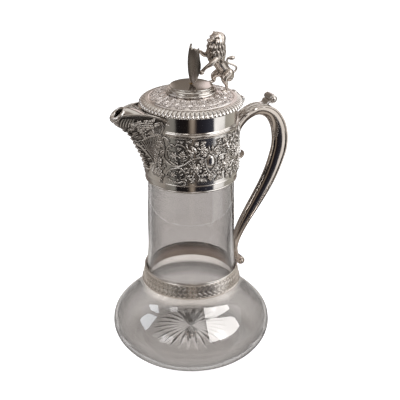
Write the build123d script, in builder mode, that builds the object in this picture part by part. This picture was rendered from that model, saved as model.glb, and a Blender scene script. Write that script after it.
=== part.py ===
from build123d import *
import os
from math import cos, degrees, radians, sin, sqrt

# A claret jug: a glass body in a silver-plated mount, with a hinged lid.
# Frame: millimetres, +Z up, origin on the jug's axis at the height it stands on,
# +X towards the handle and -X towards the spout.

# ------------------------------------------------------------------ clearances
solder_gap = 0.05        # film between pieces that are soldered or bedded together
lid_gap = 0.4            # sideways, between the lid and the fixed mount
lid_seat_gap = 0.1       # height of the closed lid above the collar
pin_clearance = 0.05     # radial, hinge pin in its knuckles
knuckle_gap = 0.2        # along the pin, between neighbouring knuckles

# ------------------------------------------------------------------ glass body
equator_radius = 75.2
equator_height = 23.0
foot_outer_radius = 57.0
foot_inner_radius = 46.0
heel_radius = 70.0
heel_height = 8.5
shoulder_radius = 66.4
shoulder_height = 42.0
throat_radius = 55.6
throat_height = 52.2
seat_bottom_radius = 45.6    # the plain cone that carries the neck band
seat_bottom_height = 66.5
seat_top_radius = 42.2
seat_top_height = 84.0
waist_radius = 40.3
waist_height = 130.0
neck_radius = 39.4
glass_height = 198.0
neck_straight = 1.3          # of the neck's straight run below the collar
glass_wall = 3.0
glass_base = 6.0
kick_height = 8.0            # how far the underside is hollowed in the middle

# ------------------------------------------------------------------ collar
collar_radius = 41.4
collar_thickness = 0.8
collar_grip = 22.7           # how far the collar reaches down over the neck
collar_height = 68.2
foot_wire_radius = 0.9
mid_wire_drop = 15.5         # of the wire above the frieze, from the collar's top
mid_wire_radius = 0.85
frieze_margin = 4.7          # from the collar's bottom to the frieze
frieze_top_margin = 2.0      # from the frieze to the wire above it
frieze_thickness = 0.9
ledge_thickness = 1.0
ledge_overlap = 3.2          # how far the ledge reaches in over the rim of the glass
window_sill = 3.0            # height of the window's sill above the rim of the glass
window_head = 6.5            # from the window to the collar's top
window_bottom_width = 14.0
window_top_width = 32.0
window_corner = 3.0

# ------------------------------------------------------------------ spout
spout_wall = 1.2
spout_margin = 8.7           # from the collar's bottom to the spout's lowest point
spout_reach = 33.2           # from the collar to the lip
hood_thickness = 1.0
hood_camber = 4.4            # height of the hood's arch
hood_front = 23.5            # how far out the hood reaches
rim_drop = 7.0               # fall of the spout's edge from its crest to the collar
crest_drop = 0.1             # of the crest below the collar's top
lip_drop = 4.1               # of the lip below the collar's top

# ------------------------------------------------------------------ neck band
band_bottom_margin = 1.9     # from the foot of the seat to the band
band_top_margin = 1.6        # from the band to the top of the seat
band_thickness = 0.8
band_bedding = 0.5
band_wire_radius = 0.75

# ------------------------------------------------------------------ handle
handle_reach = 49.3          # from the collar to the outermost point of its centre line
handle_width = 13.0
handle_depth = 13.6
flange_thickness = 2.0
flange_step = 0.9
tail_scroll_radius = 3.9
tail_scroll_width = 8.6
tail_scroll_reach = 7.0      # from the band's surface to the scroll's centre
tail_link = 2.6              # thickness of the strap that carries the scroll
root_strap_width = 7.6
root_strap_thickness = 2.2
thumb_roll_radius = 3.3
thumb_roll_length = 13.0
thumb_bead_radius = 2.5
thumb_roll_reach = 38.1      # of the roll's centre from the collar
thumb_roll_drop = 8.5        # of the roll's centre below the collar's top
leaf_width = 11.0
leaf_rise = 2.4

# ------------------------------------------------------------------ hinge
pin_radius = 0.9
knuckle_radius = 2.0
hinge_width = 14.0
middle_knuckle_width = 5.2
hinge_drop = 2.0             # of the pin below the lid's underside
leaf_tongue_thickness = 0.9

# ------------------------------------------------------------------ lid
rim_radius = 46.45
gadroon_inner_radius = 38.6
gadroon_height = 5.3
lid_sheet = 1.0
cone_rise = 5.2              # from the gadroon border to the foot of the dome
dome_radius = 21.0
dome_wire_radius = 0.9
dome_height = 6.0
dome_top_radius = 17.4
dome_crown = 0.6
bezel_depth = 4.4
bezel_thickness = 0.9
bezel_inset = 0.4

# ------------------------------------------------------------------ finial
lion_height = 54.0           # from the cone under its hind feet to the top of its mane
shield_height = 34.0
shield_width = 22.6
shield_thickness = 1.8
shield_curve_radius = 14.0
shield_bulge = 2.2           # how far its middle stands before its top and its point
shield_stand = 2.0           # of its front before the jug's axis
shield_foot = 2.0
stud_radius = 1.5
stud_hole_clearance = 0.1
stud_end = 1.2               # of the stud below its nut
washer_radius = 4.0
washer_thickness = 0.6
nut_across_flats = 5.5
nut_thickness = 2.4

# ------------------------------------------------------------------ worked out
collar_bottom = glass_height - collar_grip
collar_top = collar_bottom + collar_height
neck_start_height = collar_bottom - neck_straight
mid_wire_height = collar_top - mid_wire_drop
frieze_bottom = collar_bottom + frieze_margin
frieze_top = mid_wire_height - frieze_top_margin
window_bottom = glass_height + window_sill
window_top = collar_top - window_head
spout_bottom = collar_bottom + spout_margin
crest_height = collar_top - crest_drop
lip_height = collar_top - lip_drop
band_bottom = seat_bottom_height + band_bottom_margin
band_top = seat_top_height - band_top_margin
lid_bottom = collar_top + lid_seat_gap
gadroon_top = lid_bottom + gadroon_height
dome_bottom = gadroon_top + cone_rise
dome_top = dome_bottom + dome_height
collar_inner_radius = collar_radius - collar_thickness
mount_radius = collar_radius + solder_gap
frieze_radius = mount_radius + frieze_thickness
hinge_height = lid_bottom - hinge_drop
hinge_reach = rim_radius + lid_gap + knuckle_radius


def between(low, high, share):
    """The value that lies a given share of the way from low to high."""
    return low + (high - low) * share


def seat_radius(height):
    """Radius of the glass at a height on the cone under the neck band."""
    share = (height - seat_bottom_height) / (seat_top_height - seat_bottom_height)
    return between(seat_bottom_radius, seat_top_radius, share)


def cone_height(radius):
    """Height of the lid's chased cone at a radius."""
    share = (gadroon_inner_radius - radius) / (gadroon_inner_radius - dome_radius)
    return between(gadroon_top, dome_bottom, share)


def dish_sphere(radius, rise):
    """Radius of the sphere that gives a dish of one radius its rise."""
    return (radius**2 + rise**2) / (2 * rise)


def dish_height(radius, rise, at):
    """Height above its edge of a dish's surface, at a distance from its middle."""
    sphere = dish_sphere(radius, rise)
    return rise - sphere + sqrt(sphere**2 - at**2)


def inside(curve, distance, samples=7):
    """Points on the inner side of a curve of the glass's outline, at one distance from it."""
    points = []
    for step in range(samples):
        share = step / (samples - 1)
        point, tangent = curve @ share, curve % share
        points.append((point.X - tangent.Y * distance, point.Y + tangent.X * distance))
    return points


def ring(inner, outer, bottom, top):
    """A plain cylindrical ring about the jug's axis."""
    with BuildPart() as made:
        with BuildSketch(Plane.XY.offset(bottom)):
            Circle(outer)
            Circle(inner, mode=Mode.SUBTRACT)
        extrude(amount=top - bottom)
    return made.part


def wire_ring(radius, height, wire_radius):
    """A round wire bent into a ring about the jug's axis."""
    with BuildPart() as made:
        with BuildSketch(Plane.XZ):
            with Locations((radius, height)):
                Circle(wire_radius)
        revolve(axis=Axis.Z)
    return made.part


# ================================================================== glass body
kick_sphere = dish_sphere(foot_inner_radius, kick_height)
band_slope = (seat_top_radius - seat_bottom_radius, seat_top_height - seat_bottom_height)

with BuildPart() as glass_body:
    with BuildSketch(Plane.XZ):
        with BuildLine():
            foot = Line((foot_inner_radius, 0), (foot_outer_radius, 0))
            heel = Spline(
                foot @ 1,
                (heel_radius, heel_height),
                (equator_radius, equator_height),
                tangents=[(1, 0.12), (0, 1)],
            )
            shoulder = Spline(
                heel @ 1,
                (shoulder_radius, shoulder_height),
                (throat_radius, throat_height),
                (seat_bottom_radius, seat_bottom_height),
                tangents=[(0, 1), band_slope],
            )
            seat = Line(shoulder @ 1, (seat_top_radius, seat_top_height))
            neck = Spline(
                seat @ 1,
                (waist_radius, waist_height),
                (neck_radius, neck_start_height),
                tangents=[band_slope, (0, 1)],
            )
            rim_side = Line(neck @ 1, (neck_radius, glass_height))
            rim = Line(rim_side @ 1, (0, glass_height))
            axis_line = Line(rim @ 1, (0, kick_height))
            ThreePointArc(
                axis_line @ 1,
                (
                    foot_inner_radius / 2,
                    dish_height(foot_inner_radius, kick_height, foot_inner_radius / 2),
                ),
                foot @ 0,
            )
        make_face()
    revolve(axis=Axis.Z)
    with BuildSketch(Plane.XZ):
        with BuildLine():
            bowl = Spline(*inside(heel, glass_wall), *inside(shoulder, glass_wall)[1:])
            upper = Spline(*inside(neck, glass_wall))
            Line(bowl @ 1, upper @ 0)
            Line(upper @ 1, (neck_radius - glass_wall, glass_height + 1))
            Line((neck_radius - glass_wall, glass_height + 1), (0, glass_height + 1))
            Line((0, glass_height + 1), (0, glass_wall))
            Line((0, glass_wall), bowl @ 0)
        make_face()
        with Locations((0, kick_height - kick_sphere)):
            Circle(kick_sphere + glass_base, mode=Mode.SUBTRACT)
    revolve(axis=Axis.Z, mode=Mode.SUBTRACT)

# ================================================================== collar
# Outline of the spout seen from above, at one height: straight sides and a round nose.
def prow(angle, reach, nose):
    """Draws the spout's outline: angle to its edge on the collar, reach beyond it, nose radius."""
    edge_x, edge_y = -mount_radius * cos(radians(angle)), mount_radius * sin(radians(angle))
    nose_x = -mount_radius - reach
    side = Polyline((edge_x + collar_thickness + 6, edge_y), (edge_x, edge_y), (nose_x + nose, nose))
    tip = ThreePointArc(side @ 1, (nose_x, 0), (nose_x + nose, -nose))
    back = Polyline(tip @ 1, (edge_x, -edge_y), (edge_x + collar_thickness + 6, -edge_y))
    Line(back @ 1, side @ 0)


# Height as a share of the spout, angle, reach as a share of the spout's reach, nose radius.
spout_levels = [
    (0.00, 4.0, 0.03, 1.0),
    (0.10, 10.5, 0.07, 1.6),
    (0.20, 15.5, 0.13, 2.0),
    (0.32, 19.0, 0.215, 2.4),
    (0.50, 22.7, 0.375, 2.8),
    (0.66, 26.0, 0.53, 3.2),
    (0.75, 30.5, 0.735, 3.8),
    (0.83, 33.5, 0.925, 4.3),
    (0.92, 35.2, 1.00, 4.7),
    (1.05, 35.5, 0.96, 4.7),
]
spout_height = collar_top - spout_bottom


def spout_form(wall):
    """The spout's solid form, made smaller all round by a wall."""
    with BuildPart() as made:
        for share, angle, reach, nose in spout_levels:
            with BuildSketch(Plane.XY.offset(spout_bottom + spout_height * share)):
                with BuildLine():
                    narrower = degrees(wall / mount_radius)
                    prow(angle - narrower, spout_reach * reach - wall, max(nose - wall / 2, 0.6))
                make_face()
        loft(ruled=True)
    return made.part


spout_outer = spout_form(0)
spout_inner = spout_form(spout_wall)

with BuildPart() as collar_sleeve:
    with BuildSketch(Plane.XY.offset(collar_bottom)):
        Circle(collar_radius)
        Circle(collar_inner_radius, mode=Mode.SUBTRACT)
    extrude(amount=collar_top - collar_bottom)
    with BuildSketch(Plane.YZ) as window:
        with BuildLine():
            Polyline(
                (-window_bottom_width / 2, window_bottom),
                (window_bottom_width / 2, window_bottom),
                (window_top_width / 2, window_top),
                (-window_top_width / 2, window_top),
                close=True,
            )
        make_face()
        fillet(window.vertices(), window_corner)
    extrude(amount=-collar_radius - 1, mode=Mode.SUBTRACT)

foot_wire = wire_ring(
    collar_inner_radius + foot_wire_radius / 2,
    collar_bottom - foot_wire_radius - solder_gap,
    foot_wire_radius,
)

with BuildPart() as frieze_band:
    add(ring(mount_radius, frieze_radius, frieze_bottom, frieze_top))
    add(spout_outer, mode=Mode.SUBTRACT)

with BuildPart() as mid_wire:
    with BuildSketch(Plane.XZ):
        with Locations((mount_radius, mid_wire_height)):
            Circle(mid_wire_radius)
        with Locations((mount_radius - mid_wire_radius, mid_wire_height)):
            Rectangle(2 * mid_wire_radius, 4 * mid_wire_radius, mode=Mode.SUBTRACT)
    revolve(axis=Axis.Z)
    add(spout_outer, mode=Mode.SUBTRACT)

glass_rim_ledge = ring(
    collar_inner_radius - solder_gap - collar_thickness - ledge_overlap,
    collar_inner_radius - solder_gap,
    glass_height + solder_gap,
    glass_height + solder_gap + ledge_thickness,
)
collar_bedding = ring(
    neck_radius + solder_gap,
    collar_inner_radius - solder_gap,
    collar_bottom,
    glass_height,
)

# ================================================================== spout
# The edge where the hood sits on the spout, seen from the side.
def rim_points():
    """Points along the spout's edge, from behind the collar's wall to beyond the lip."""
    root = -mount_radius * cos(radians(spout_levels[-1][1]))
    lip = -mount_radius - spout_reach
    return [
        (root + 3, crest_height - rim_drop),
        (between(root, lip, 0.20), between(crest_height, crest_height - rim_drop, 0.26)),
        (between(root, lip, 0.47), crest_height),
        (between(root, lip, 0.69), crest_height - 0.6),
        (between(root, lip, 0.88), between(crest_height, lip_height, 0.5)),
        (lip - 1.5, lip_height - 0.6),
    ]


with BuildPart() as spout_body:
    add(spout_outer)
    add(spout_inner, mode=Mode.SUBTRACT)
    with BuildSketch(Plane.XZ):
        with BuildLine():
            edge = Spline(*rim_points())
            Polyline(
                edge @ 1,
                ((edge @ 1).X, collar_top + spout_height),
                ((edge @ 0).X, collar_top + spout_height),
                edge @ 0,
            )
        make_face()
    extrude(amount=collar_radius, both=True, mode=Mode.SUBTRACT)
    with BuildSketch(Plane.XY):
        Circle(mount_radius)
    extrude(amount=2 * collar_top, mode=Mode.SUBTRACT)

with BuildLine(Plane.XZ):
    rim_curve = Spline(*rim_points())


def rim_height(x):
    """Height of the spout's edge at a distance along X."""
    low, high = 0.0, 1.0
    for _ in range(30):
        middle = (low + high) / 2
        if (rim_curve @ middle).X > x:
            low = middle
        else:
            high = middle
    return (rim_curve @ low).Z


def spout_half_width(x):
    """Half the spout's width near its edge, at a distance along X."""
    _, angle, reach, nose = spout_levels[-2]
    edge_x, edge_y = -mount_radius * cos(radians(angle)), mount_radius * sin(radians(angle))
    nose_x = -mount_radius - spout_reach * reach + nose
    return between(edge_y, nose, (x - edge_x) / (nose_x - edge_x))


# Distance out from the collar, and the height of the hood's arch there as a share of its largest.
hood_stations = [(-6.5, 0.50), (0.0, 0.52), (7.0, 0.64), (15.0, 0.92), (hood_front, 1.00)]
with BuildPart() as spout_hood:
    for station, arch in hood_stations:
        x = -mount_radius - station
        camber = hood_camber * arch
        half = spout_half_width(x)
        bottom = rim_height(x) + solder_gap
        with BuildSketch(Plane.YZ.offset(x)):
            with BuildLine():
                outer = ThreePointArc((-half, bottom), (0, bottom + camber), (half, bottom))
                step_in = Line(outer @ 1, (half - hood_thickness, bottom))
                inner = ThreePointArc(
                    step_in @ 1,
                    (0, bottom + camber - hood_thickness),
                    (-half + hood_thickness, bottom),
                )
                Line(inner @ 1, outer @ 0)
            make_face()
    loft()
    # A flat web closes the hood to the collar under the overhanging lid.
    web_top = lid_bottom - lid_gap
    with BuildSketch(Plane.XY.offset(web_top - hood_thickness)):
        Circle(rim_radius + lid_gap + hood_thickness)
        with Locations((-2 * rim_radius, 0)):
            Rectangle(
                2 * rim_radius + 2 * 0.6 * rim_radius,
                2 * spout_half_width(-rim_radius) - 2 * hood_thickness,
                mode=Mode.INTERSECT,
            )
    extrude(amount=hood_thickness)
    with BuildSketch(Plane.XY.offset(web_top)):
        Circle(rim_radius + lid_gap)
    extrude(amount=rim_radius, mode=Mode.SUBTRACT)
    with BuildSketch(Plane.XY):
        Circle(mount_radius)
    extrude(amount=2 * collar_top, mode=Mode.SUBTRACT)

# ================================================================== neck band
def band_inner_radius(height):
    """Radius of the neck band's inner side at a height."""
    return seat_radius(height) + band_bedding


with BuildPart() as neck_band:
    with BuildSketch(Plane.XZ):
        with BuildLine():
            Polyline(
                (band_inner_radius(band_bottom), band_bottom),
                (band_inner_radius(band_bottom) + band_thickness, band_bottom),
                (band_inner_radius(band_top) + band_thickness, band_top),
                (band_inner_radius(band_top), band_top),
                close=True,
            )
        make_face()
    revolve(axis=Axis.Z)

with BuildPart() as band_bedding_ring:
    with BuildSketch(Plane.XZ):
        with BuildLine():
            Polyline(
                (seat_radius(band_bottom) + solder_gap, band_bottom),
                (band_inner_radius(band_bottom) - solder_gap, band_bottom),
                (band_inner_radius(band_top) - solder_gap, band_top),
                (seat_radius(band_top) + solder_gap, band_top),
                close=True,
            )
        make_face()
    revolve(axis=Axis.Z)

band_wire_height = band_top + band_wire_radius + solder_gap
band_wire = wire_ring(
    band_inner_radius(band_wire_height) + band_thickness / 2 + 0.1,
    band_wire_height,
    band_wire_radius,
)

# ================================================================== handle
band_middle = (band_bottom + band_top) / 2
band_surface = band_inner_radius(band_middle) + band_thickness
handle_rise = collar_top - band_middle

# The centre line: reach from the collar as a share of the handle's reach, and height as a share
# of the rise from the band to the collar's top.
handle_line_shares = [
    (0.016, 0.759),
    (0.126, 0.834),
    (0.316, 0.883),
    (0.590, 0.900),
    (0.838, 0.857),
    (0.970, 0.774),
    (1.000, 0.691),
    (0.921, 0.593),
    (0.803, 0.505),
    (0.613, 0.405),
    (0.373, 0.294),
    (0.200, 0.206),
    (0.100, 0.128),
    (0.078, 0.057),
]
handle_points = [
    (collar_radius + handle_reach * reach, band_middle + handle_rise * rise)
    for reach, rise in handle_line_shares
]
with BuildLine(Plane.XZ):
    handle_curve = Spline(*handle_points)

# Place along the centre line, then width and depth as shares of the handle's largest.
handle_stations = [
    (0.00, 0.90, 0.82),
    (0.06, 0.96, 0.74),
    (0.13, 1.00, 0.74),
    (0.20, 1.00, 0.78),
    (0.28, 1.00, 0.91),
    (0.36, 1.00, 1.02),
    (0.44, 1.00, 1.03),
    (0.52, 1.00, 0.95),
    (0.62, 0.98, 0.84),
    (0.74, 0.92, 0.72),
    (0.84, 0.82, 0.60),
    (0.92, 0.70, 0.48),
    (1.00, 0.52, 0.34),
]


def handle_plane(share):
    """The plane across the handle at a share of its centre line, its local Y pointing outwards."""
    return Plane(origin=handle_curve @ share, x_dir=(0, 1, 0), z_dir=handle_curve % share)


def handle_section(width, depth):
    """Draws the handle's section: a flanged outer face, flat sides and a round inner face."""
    flange, waist = width / 2, width / 2 - flange_step
    outer, inner = depth / 2, -depth / 2
    thick = flange_thickness * depth / handle_depth
    left = Polyline(
        (-waist, inner * 0.25),
        (-waist, outer - thick - flange_step / 2),
        (-flange, outer - thick),
        (-flange, outer),
        (flange, outer),
        (flange, outer - thick),
        (waist, outer - thick - flange_step / 2),
        (waist, inner * 0.25),
    )
    ThreePointArc(left @ 1, (0, inner), left @ 0)


strap_x = frieze_radius + solder_gap + root_strap_thickness / 2
strap_turn = 3.6                          # radius of the root scroll's curl
strap_bottom = between(band_middle, collar_top, 0.632)
tail_x = band_surface + tail_scroll_reach
tail_z = band_middle - 1.0
handle_foot = handle_curve @ 0.93

with BuildPart() as handle:
    for share, width, depth in handle_stations:
        with BuildSketch(handle_plane(share)):
            with BuildLine():
                handle_section(handle_width * width, handle_depth * depth)
            make_face()
    loft()
    # The root scroll: a strap down the collar that curls outwards.
    with BuildLine(Plane.XZ) as strap_line:
        strap = Line((strap_x, (handle_curve @ 0).Z + 6), (strap_x, strap_bottom + strap_turn))
        bend = TangentArc(
            strap @ 1,
            (strap_x + strap_turn * 1.5, strap_bottom - strap_turn / 3),
            tangent=strap % 1,
        )
        TangentArc(bend @ 1, (strap_x + strap_turn * 2.6, strap_bottom + strap_turn), tangent=bend % 1)
    with BuildSketch(Plane(origin=strap @ 0, x_dir=(0, 1, 0), z_dir=strap % 0)):
        RectangleRounded(root_strap_width, root_strap_thickness, root_strap_thickness * 0.45)
    sweep(path=strap_line.wires()[0])
    # The tail scroll: a drum with a boss on each end, joined to the foot of the handle.
    with BuildSketch(Plane.XZ):
        with Locations((tail_x, tail_z)):
            Circle(tail_scroll_radius)
    extrude(amount=tail_scroll_width / 2, both=True)
    with Locations(*[(tail_x, side * tail_scroll_width / 2, tail_z) for side in (-1, 1)]):
        Sphere(tail_scroll_radius * 0.6)
    with BuildSketch(Plane.XZ):
        with BuildLine():
            Polyline(
                (band_surface - 1, handle_foot.Z),
                (handle_foot.X + 0.8, handle_foot.Z),
                (band_surface + tail_link, tail_z + tail_scroll_radius),
                (tail_x, tail_z + tail_scroll_radius * 0.6),
                (tail_x, tail_z - tail_scroll_radius * 0.5),
                (band_surface - 1, tail_z - tail_scroll_radius * 0.5),
                close=True,
            )
        make_face()
    extrude(amount=handle_width * 0.24, both=True)
    # Its feet are shaped to the collar and to the neck band.
    with BuildSketch(Plane.XY.offset(collar_bottom)):
        Circle(frieze_radius + solder_gap)
    extrude(amount=collar_top - collar_bottom, mode=Mode.SUBTRACT)
    with BuildSketch(Plane.XZ):
        with BuildLine():
            foot_low, foot_high = band_bottom - 10, seat_top_height + 2
            wire_bulge = band_wire_radius + 0.15 + solder_gap
            Polyline(
                (0, foot_low),
                (band_inner_radius(foot_low) + band_thickness / 2 + wire_bulge, foot_low),
                (band_inner_radius(foot_high) + band_thickness / 2 + wire_bulge, foot_high),
                (0, foot_high),
                close=True,
            )
        make_face()
    revolve(axis=Axis.Z, mode=Mode.SUBTRACT)

# The thumb scroll: a leaf laid on the arm that rises and rolls up.
roll_centre = Vector(collar_radius + thumb_roll_reach, 0, collar_top - thumb_roll_drop)
leaf_stations = [(0.055, 0.55, 0.35), (0.10, 0.85, 0.85), (0.16, 1.00, 1.00), (0.215, 0.95, 1.0)]


def handle_half_depth(share):
    """Half the handle's depth at a share of its centre line."""
    for (low, _, shallow), (high, _, deep) in zip(handle_stations, handle_stations[1:]):
        if low <= share <= high:
            return handle_depth * between(shallow, deep, (share - low) / (high - low)) / 2
    return handle_depth * handle_stations[-1][2] / 2


with BuildPart() as thumb_scroll:
    for share, width, rise in leaf_stations:
        outer_face = handle_half_depth(share)
        with BuildSketch(handle_plane(share)):
            with BuildLine():
                sunk = outer_face - 1.0
                half = leaf_width * width / 2
                sides = Polyline(
                    (half, outer_face + 0.4), (half, sunk), (-half, sunk), (-half, outer_face + 0.4)
                )
                ThreePointArc(sides @ 1, (0, outer_face + leaf_rise * rise), sides @ 0)
            make_face()
    loft()
    with BuildSketch(Plane.XZ):
        with Locations((roll_centre.X, roll_centre.Z)):
            Circle(thumb_roll_radius)
    extrude(amount=thumb_roll_length / 2, both=True)
    with Locations(*[(roll_centre.X, side * thumb_roll_length / 2, roll_centre.Z) for side in (-1, 1)]):
        Sphere(thumb_bead_radius)
    # The neck between leaf and roll.
    leaf_end = handle_plane(leaf_stations[-1][0])
    end_bottom = leaf_end.from_local_coords((0, handle_half_depth(leaf_stations[-1][0]) - 1, 0))
    end_top = leaf_end.from_local_coords((0, handle_half_depth(leaf_stations[-1][0]) + leaf_rise - 0.2, 0))
    with BuildSketch(Plane.XZ):
        with BuildLine():
            Polyline(
                (end_bottom.X - 1.5, end_bottom.Z),
                (end_bottom.X + 4.5, end_bottom.Z),
                (roll_centre.X, roll_centre.Z - thumb_roll_radius * 0.8),
                (roll_centre.X - thumb_roll_radius * 0.9, roll_centre.Z),
                (end_top.X - 1.5, end_top.Z),
                close=True,
            )
        make_face()
    extrude(amount=leaf_width * 0.42, both=True)
    add(handle.part, mode=Mode.SUBTRACT)
    with BuildSketch(Plane.XY.offset(collar_bottom)):
        Circle(frieze_radius + solder_gap)
    extrude(amount=collar_top - collar_bottom, mode=Mode.SUBTRACT)

# ================================================================== hinge
bracket_bottom = hinge_height - 3.6 * knuckle_radius
bracket_top = hinge_height
with BuildPart() as hinge_bracket:
    with BuildSketch(Plane.XZ):
        with BuildLine():
            Polyline(
                (collar_radius - 1, bracket_bottom),
                (collar_radius + 1.5, bracket_bottom),
                (hinge_reach + knuckle_radius, hinge_height - knuckle_radius * 1.1),
                (hinge_reach + knuckle_radius, bracket_top),
                (hinge_reach - knuckle_radius, bracket_top),
                (collar_radius - 1, hinge_height - knuckle_radius * 1.1),
                close=True,
            )
        make_face()
        with Locations((hinge_reach, hinge_height)):
            Circle(knuckle_radius)
    extrude(amount=hinge_width / 2, both=True)
    with BuildSketch(Plane.XZ):
        with Locations((hinge_reach, hinge_height)):
            Circle(pin_radius + pin_clearance)
    extrude(amount=hinge_width / 2, both=True, mode=Mode.SUBTRACT)
    # Room for the middle knuckle.
    with BuildSketch(Plane.XZ):
        with Locations((hinge_reach, hinge_height)):
            Circle(knuckle_radius + lid_gap)
        with Locations((hinge_reach, hinge_height + knuckle_radius)):
            Rectangle(2 * (knuckle_radius + lid_gap), 2 * knuckle_radius)
    extrude(amount=middle_knuckle_width / 2 + knuckle_gap, both=True, mode=Mode.SUBTRACT)
    with BuildSketch(Plane.XY):
        Circle(mount_radius)
    extrude(amount=2 * collar_top, mode=Mode.SUBTRACT)

with BuildPart() as hinge_pin:
    with BuildSketch(Plane.XZ):
        with Locations((hinge_reach, hinge_height)):
            Circle(pin_radius)
    extrude(amount=hinge_width / 2 + 0.3, both=True)

# ================================================================== lid
with BuildPart() as gadroon_border:
    with BuildSketch(Plane.XZ):
        with BuildLine():
            underside = Line((gadroon_inner_radius + bezel_inset, lid_bottom), (rim_radius - 1.2, lid_bottom))
            lower = ThreePointArc(
                underside @ 1,
                (rim_radius - 0.35, lid_bottom + 0.35),
                (rim_radius, lid_bottom + 1.2),
            )
            crown = Spline(
                lower @ 1,
                (rim_radius - 2.7, lid_bottom + gadroon_height * 0.76),
                (gadroon_inner_radius, gadroon_top),
                tangents=[(0, 1), (-1, 0.1)],
            )
            Polyline(crown @ 1, (gadroon_inner_radius, gadroon_top - lid_sheet), underside @ 0)
        make_face()
    revolve(axis=Axis.Z)

plate_edge = gadroon_inner_radius - solder_gap
with BuildPart() as lid_plate:
    with BuildSketch(Plane.XZ):
        with BuildLine():
            Polyline(
                (0, dome_bottom - lid_sheet),
                (dome_radius, dome_bottom - lid_sheet),
                (plate_edge, cone_height(plate_edge) - lid_sheet),
                (plate_edge, cone_height(plate_edge)),
                (dome_radius, dome_bottom),
                (0, dome_bottom),
                close=True,
            )
        make_face()
    revolve(axis=Axis.Z)
    with Locations((0, 0, dome_bottom)):
        Hole(stud_radius + stud_hole_clearance, depth=2 * lid_sheet)

with BuildPart() as dome_wire:
    with BuildSketch(Plane.XZ):
        with Locations((dome_radius + dome_wire_radius, dome_bottom + dome_wire_radius + solder_gap)):
            Circle(dome_wire_radius)
    revolve(axis=Axis.Z)

dome_foot = dome_bottom + solder_gap
shelf_radius = dome_radius - 0.4
crown_half = dome_top_radius / 2
with BuildPart() as lid_dome:
    with BuildSketch(Plane.XZ):
        with BuildLine():
            wall_line = Polyline(
                (dome_radius - lid_sheet, dome_foot),
                (dome_radius - 2 * solder_gap, dome_foot),
                (dome_radius - 2 * solder_gap, dome_foot + dome_wire_radius * 2),
                (dome_radius - 1.2, dome_foot + dome_wire_radius * 2 + 0.4),
            )
            moulding = ThreePointArc(
                wall_line @ 1,
                (shelf_radius, dome_foot + dome_height * 0.58),
                (dome_radius - 1.3, dome_foot + dome_height * 0.78),
            )
            cove = ThreePointArc(
                moulding @ 1,
                (dome_top_radius + 0.9, dome_top - dome_height * 0.1),
                (dome_top_radius, dome_top),
            )
            crown_top = ThreePointArc(
                cove @ 1,
                (crown_half, dome_top + dish_height(dome_top_radius, dome_crown, crown_half)),
                (0, dome_top + dome_crown),
            )
            Polyline(
                crown_top @ 1,
                (0, dome_top + dome_crown - lid_sheet),
                (dome_top_radius - lid_sheet, dome_top - lid_sheet),
                (dome_radius - 1.2 - lid_sheet, dome_foot + dome_height * 0.7),
                (dome_radius - 1.2 - lid_sheet, dome_foot + dome_wire_radius * 2 + 0.4),
                (dome_radius - lid_sheet, dome_foot),
            )
        make_face()
    revolve(axis=Axis.Z)
    with Locations((0, 0, dome_top + dome_crown)):
        Hole(stud_radius + stud_hole_clearance, depth=2 * lid_sheet)

bezel_radius = collar_inner_radius - lid_gap
with BuildPart() as lid_bezel:
    with BuildSketch(Plane.XZ):
        with BuildLine():
            Polyline(
                (bezel_radius - bezel_thickness, lid_bottom - bezel_depth),
                (bezel_radius - 0.3, lid_bottom - bezel_depth),
                (bezel_radius, lid_bottom - bezel_depth + 0.5),
                (bezel_radius, lid_bottom - solder_gap),
                (bezel_radius - bezel_thickness, lid_bottom - solder_gap),
                close=True,
            )
        make_face()
    revolve(axis=Axis.Z)

with BuildPart() as hinge_leaf:
    with BuildSketch(Plane.XZ):
        with Locations((hinge_reach, hinge_height)):
            Circle(knuckle_radius)
        with BuildLine():
            Polyline(
                (hinge_reach - knuckle_radius * 0.2, hinge_height + knuckle_radius * 0.2),
                (hinge_reach + knuckle_radius, hinge_height),
                (rim_radius + leaf_tongue_thickness, lid_bottom + gadroon_height * 0.3),
                (rim_radius - 2.2, lid_bottom + gadroon_height * 0.76 + leaf_tongue_thickness),
                (rim_radius - 4.4, lid_bottom + gadroon_height * 0.84 + leaf_tongue_thickness),
                (rim_radius - 4.4, lid_bottom + solder_gap),
                (rim_radius + lid_gap, lid_bottom + solder_gap),
                close=True,
            )
        make_face()
    extrude(amount=middle_knuckle_width / 2, both=True)
    with BuildSketch(Plane.XZ):
        with Locations((hinge_reach, hinge_height)):
            Circle(pin_radius + pin_clearance)
    extrude(amount=middle_knuckle_width, both=True, mode=Mode.SUBTRACT)
    add(gadroon_border.part, mode=Mode.SUBTRACT)

# ================================================================== finial
# The lion's sizes are shares of its height, and its origin is at dome level on the jug's axis.
lion_base = gadroon_top + cone_rise * 0.3


def lion_point(x, y, z):
    """A point of the lion, from shares of its height."""
    return Vector(lion_height * x, lion_height * y, lion_base + lion_height * z)


def limb(*stations):
    """A round limb through stations of x, y, z and radius, all shares of the lion's height."""
    with BuildPart() as made:
        for (x, y, z, radius), (next_x, next_y, next_z, next_radius) in zip(stations, stations[1:]):
            start, end = lion_point(x, y, z), lion_point(next_x, next_y, next_z)
            with BuildSketch(Plane(origin=start, z_dir=end - start)):
                Circle(lion_height * radius)
            with BuildSketch(Plane(origin=end, z_dir=end - start)):
                Circle(lion_height * next_radius)
            loft(ruled=True)
        for x, y, z, radius in stations:
            with Locations(lion_point(x, y, z)):
                Sphere(lion_height * radius)
    return made.part


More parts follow.
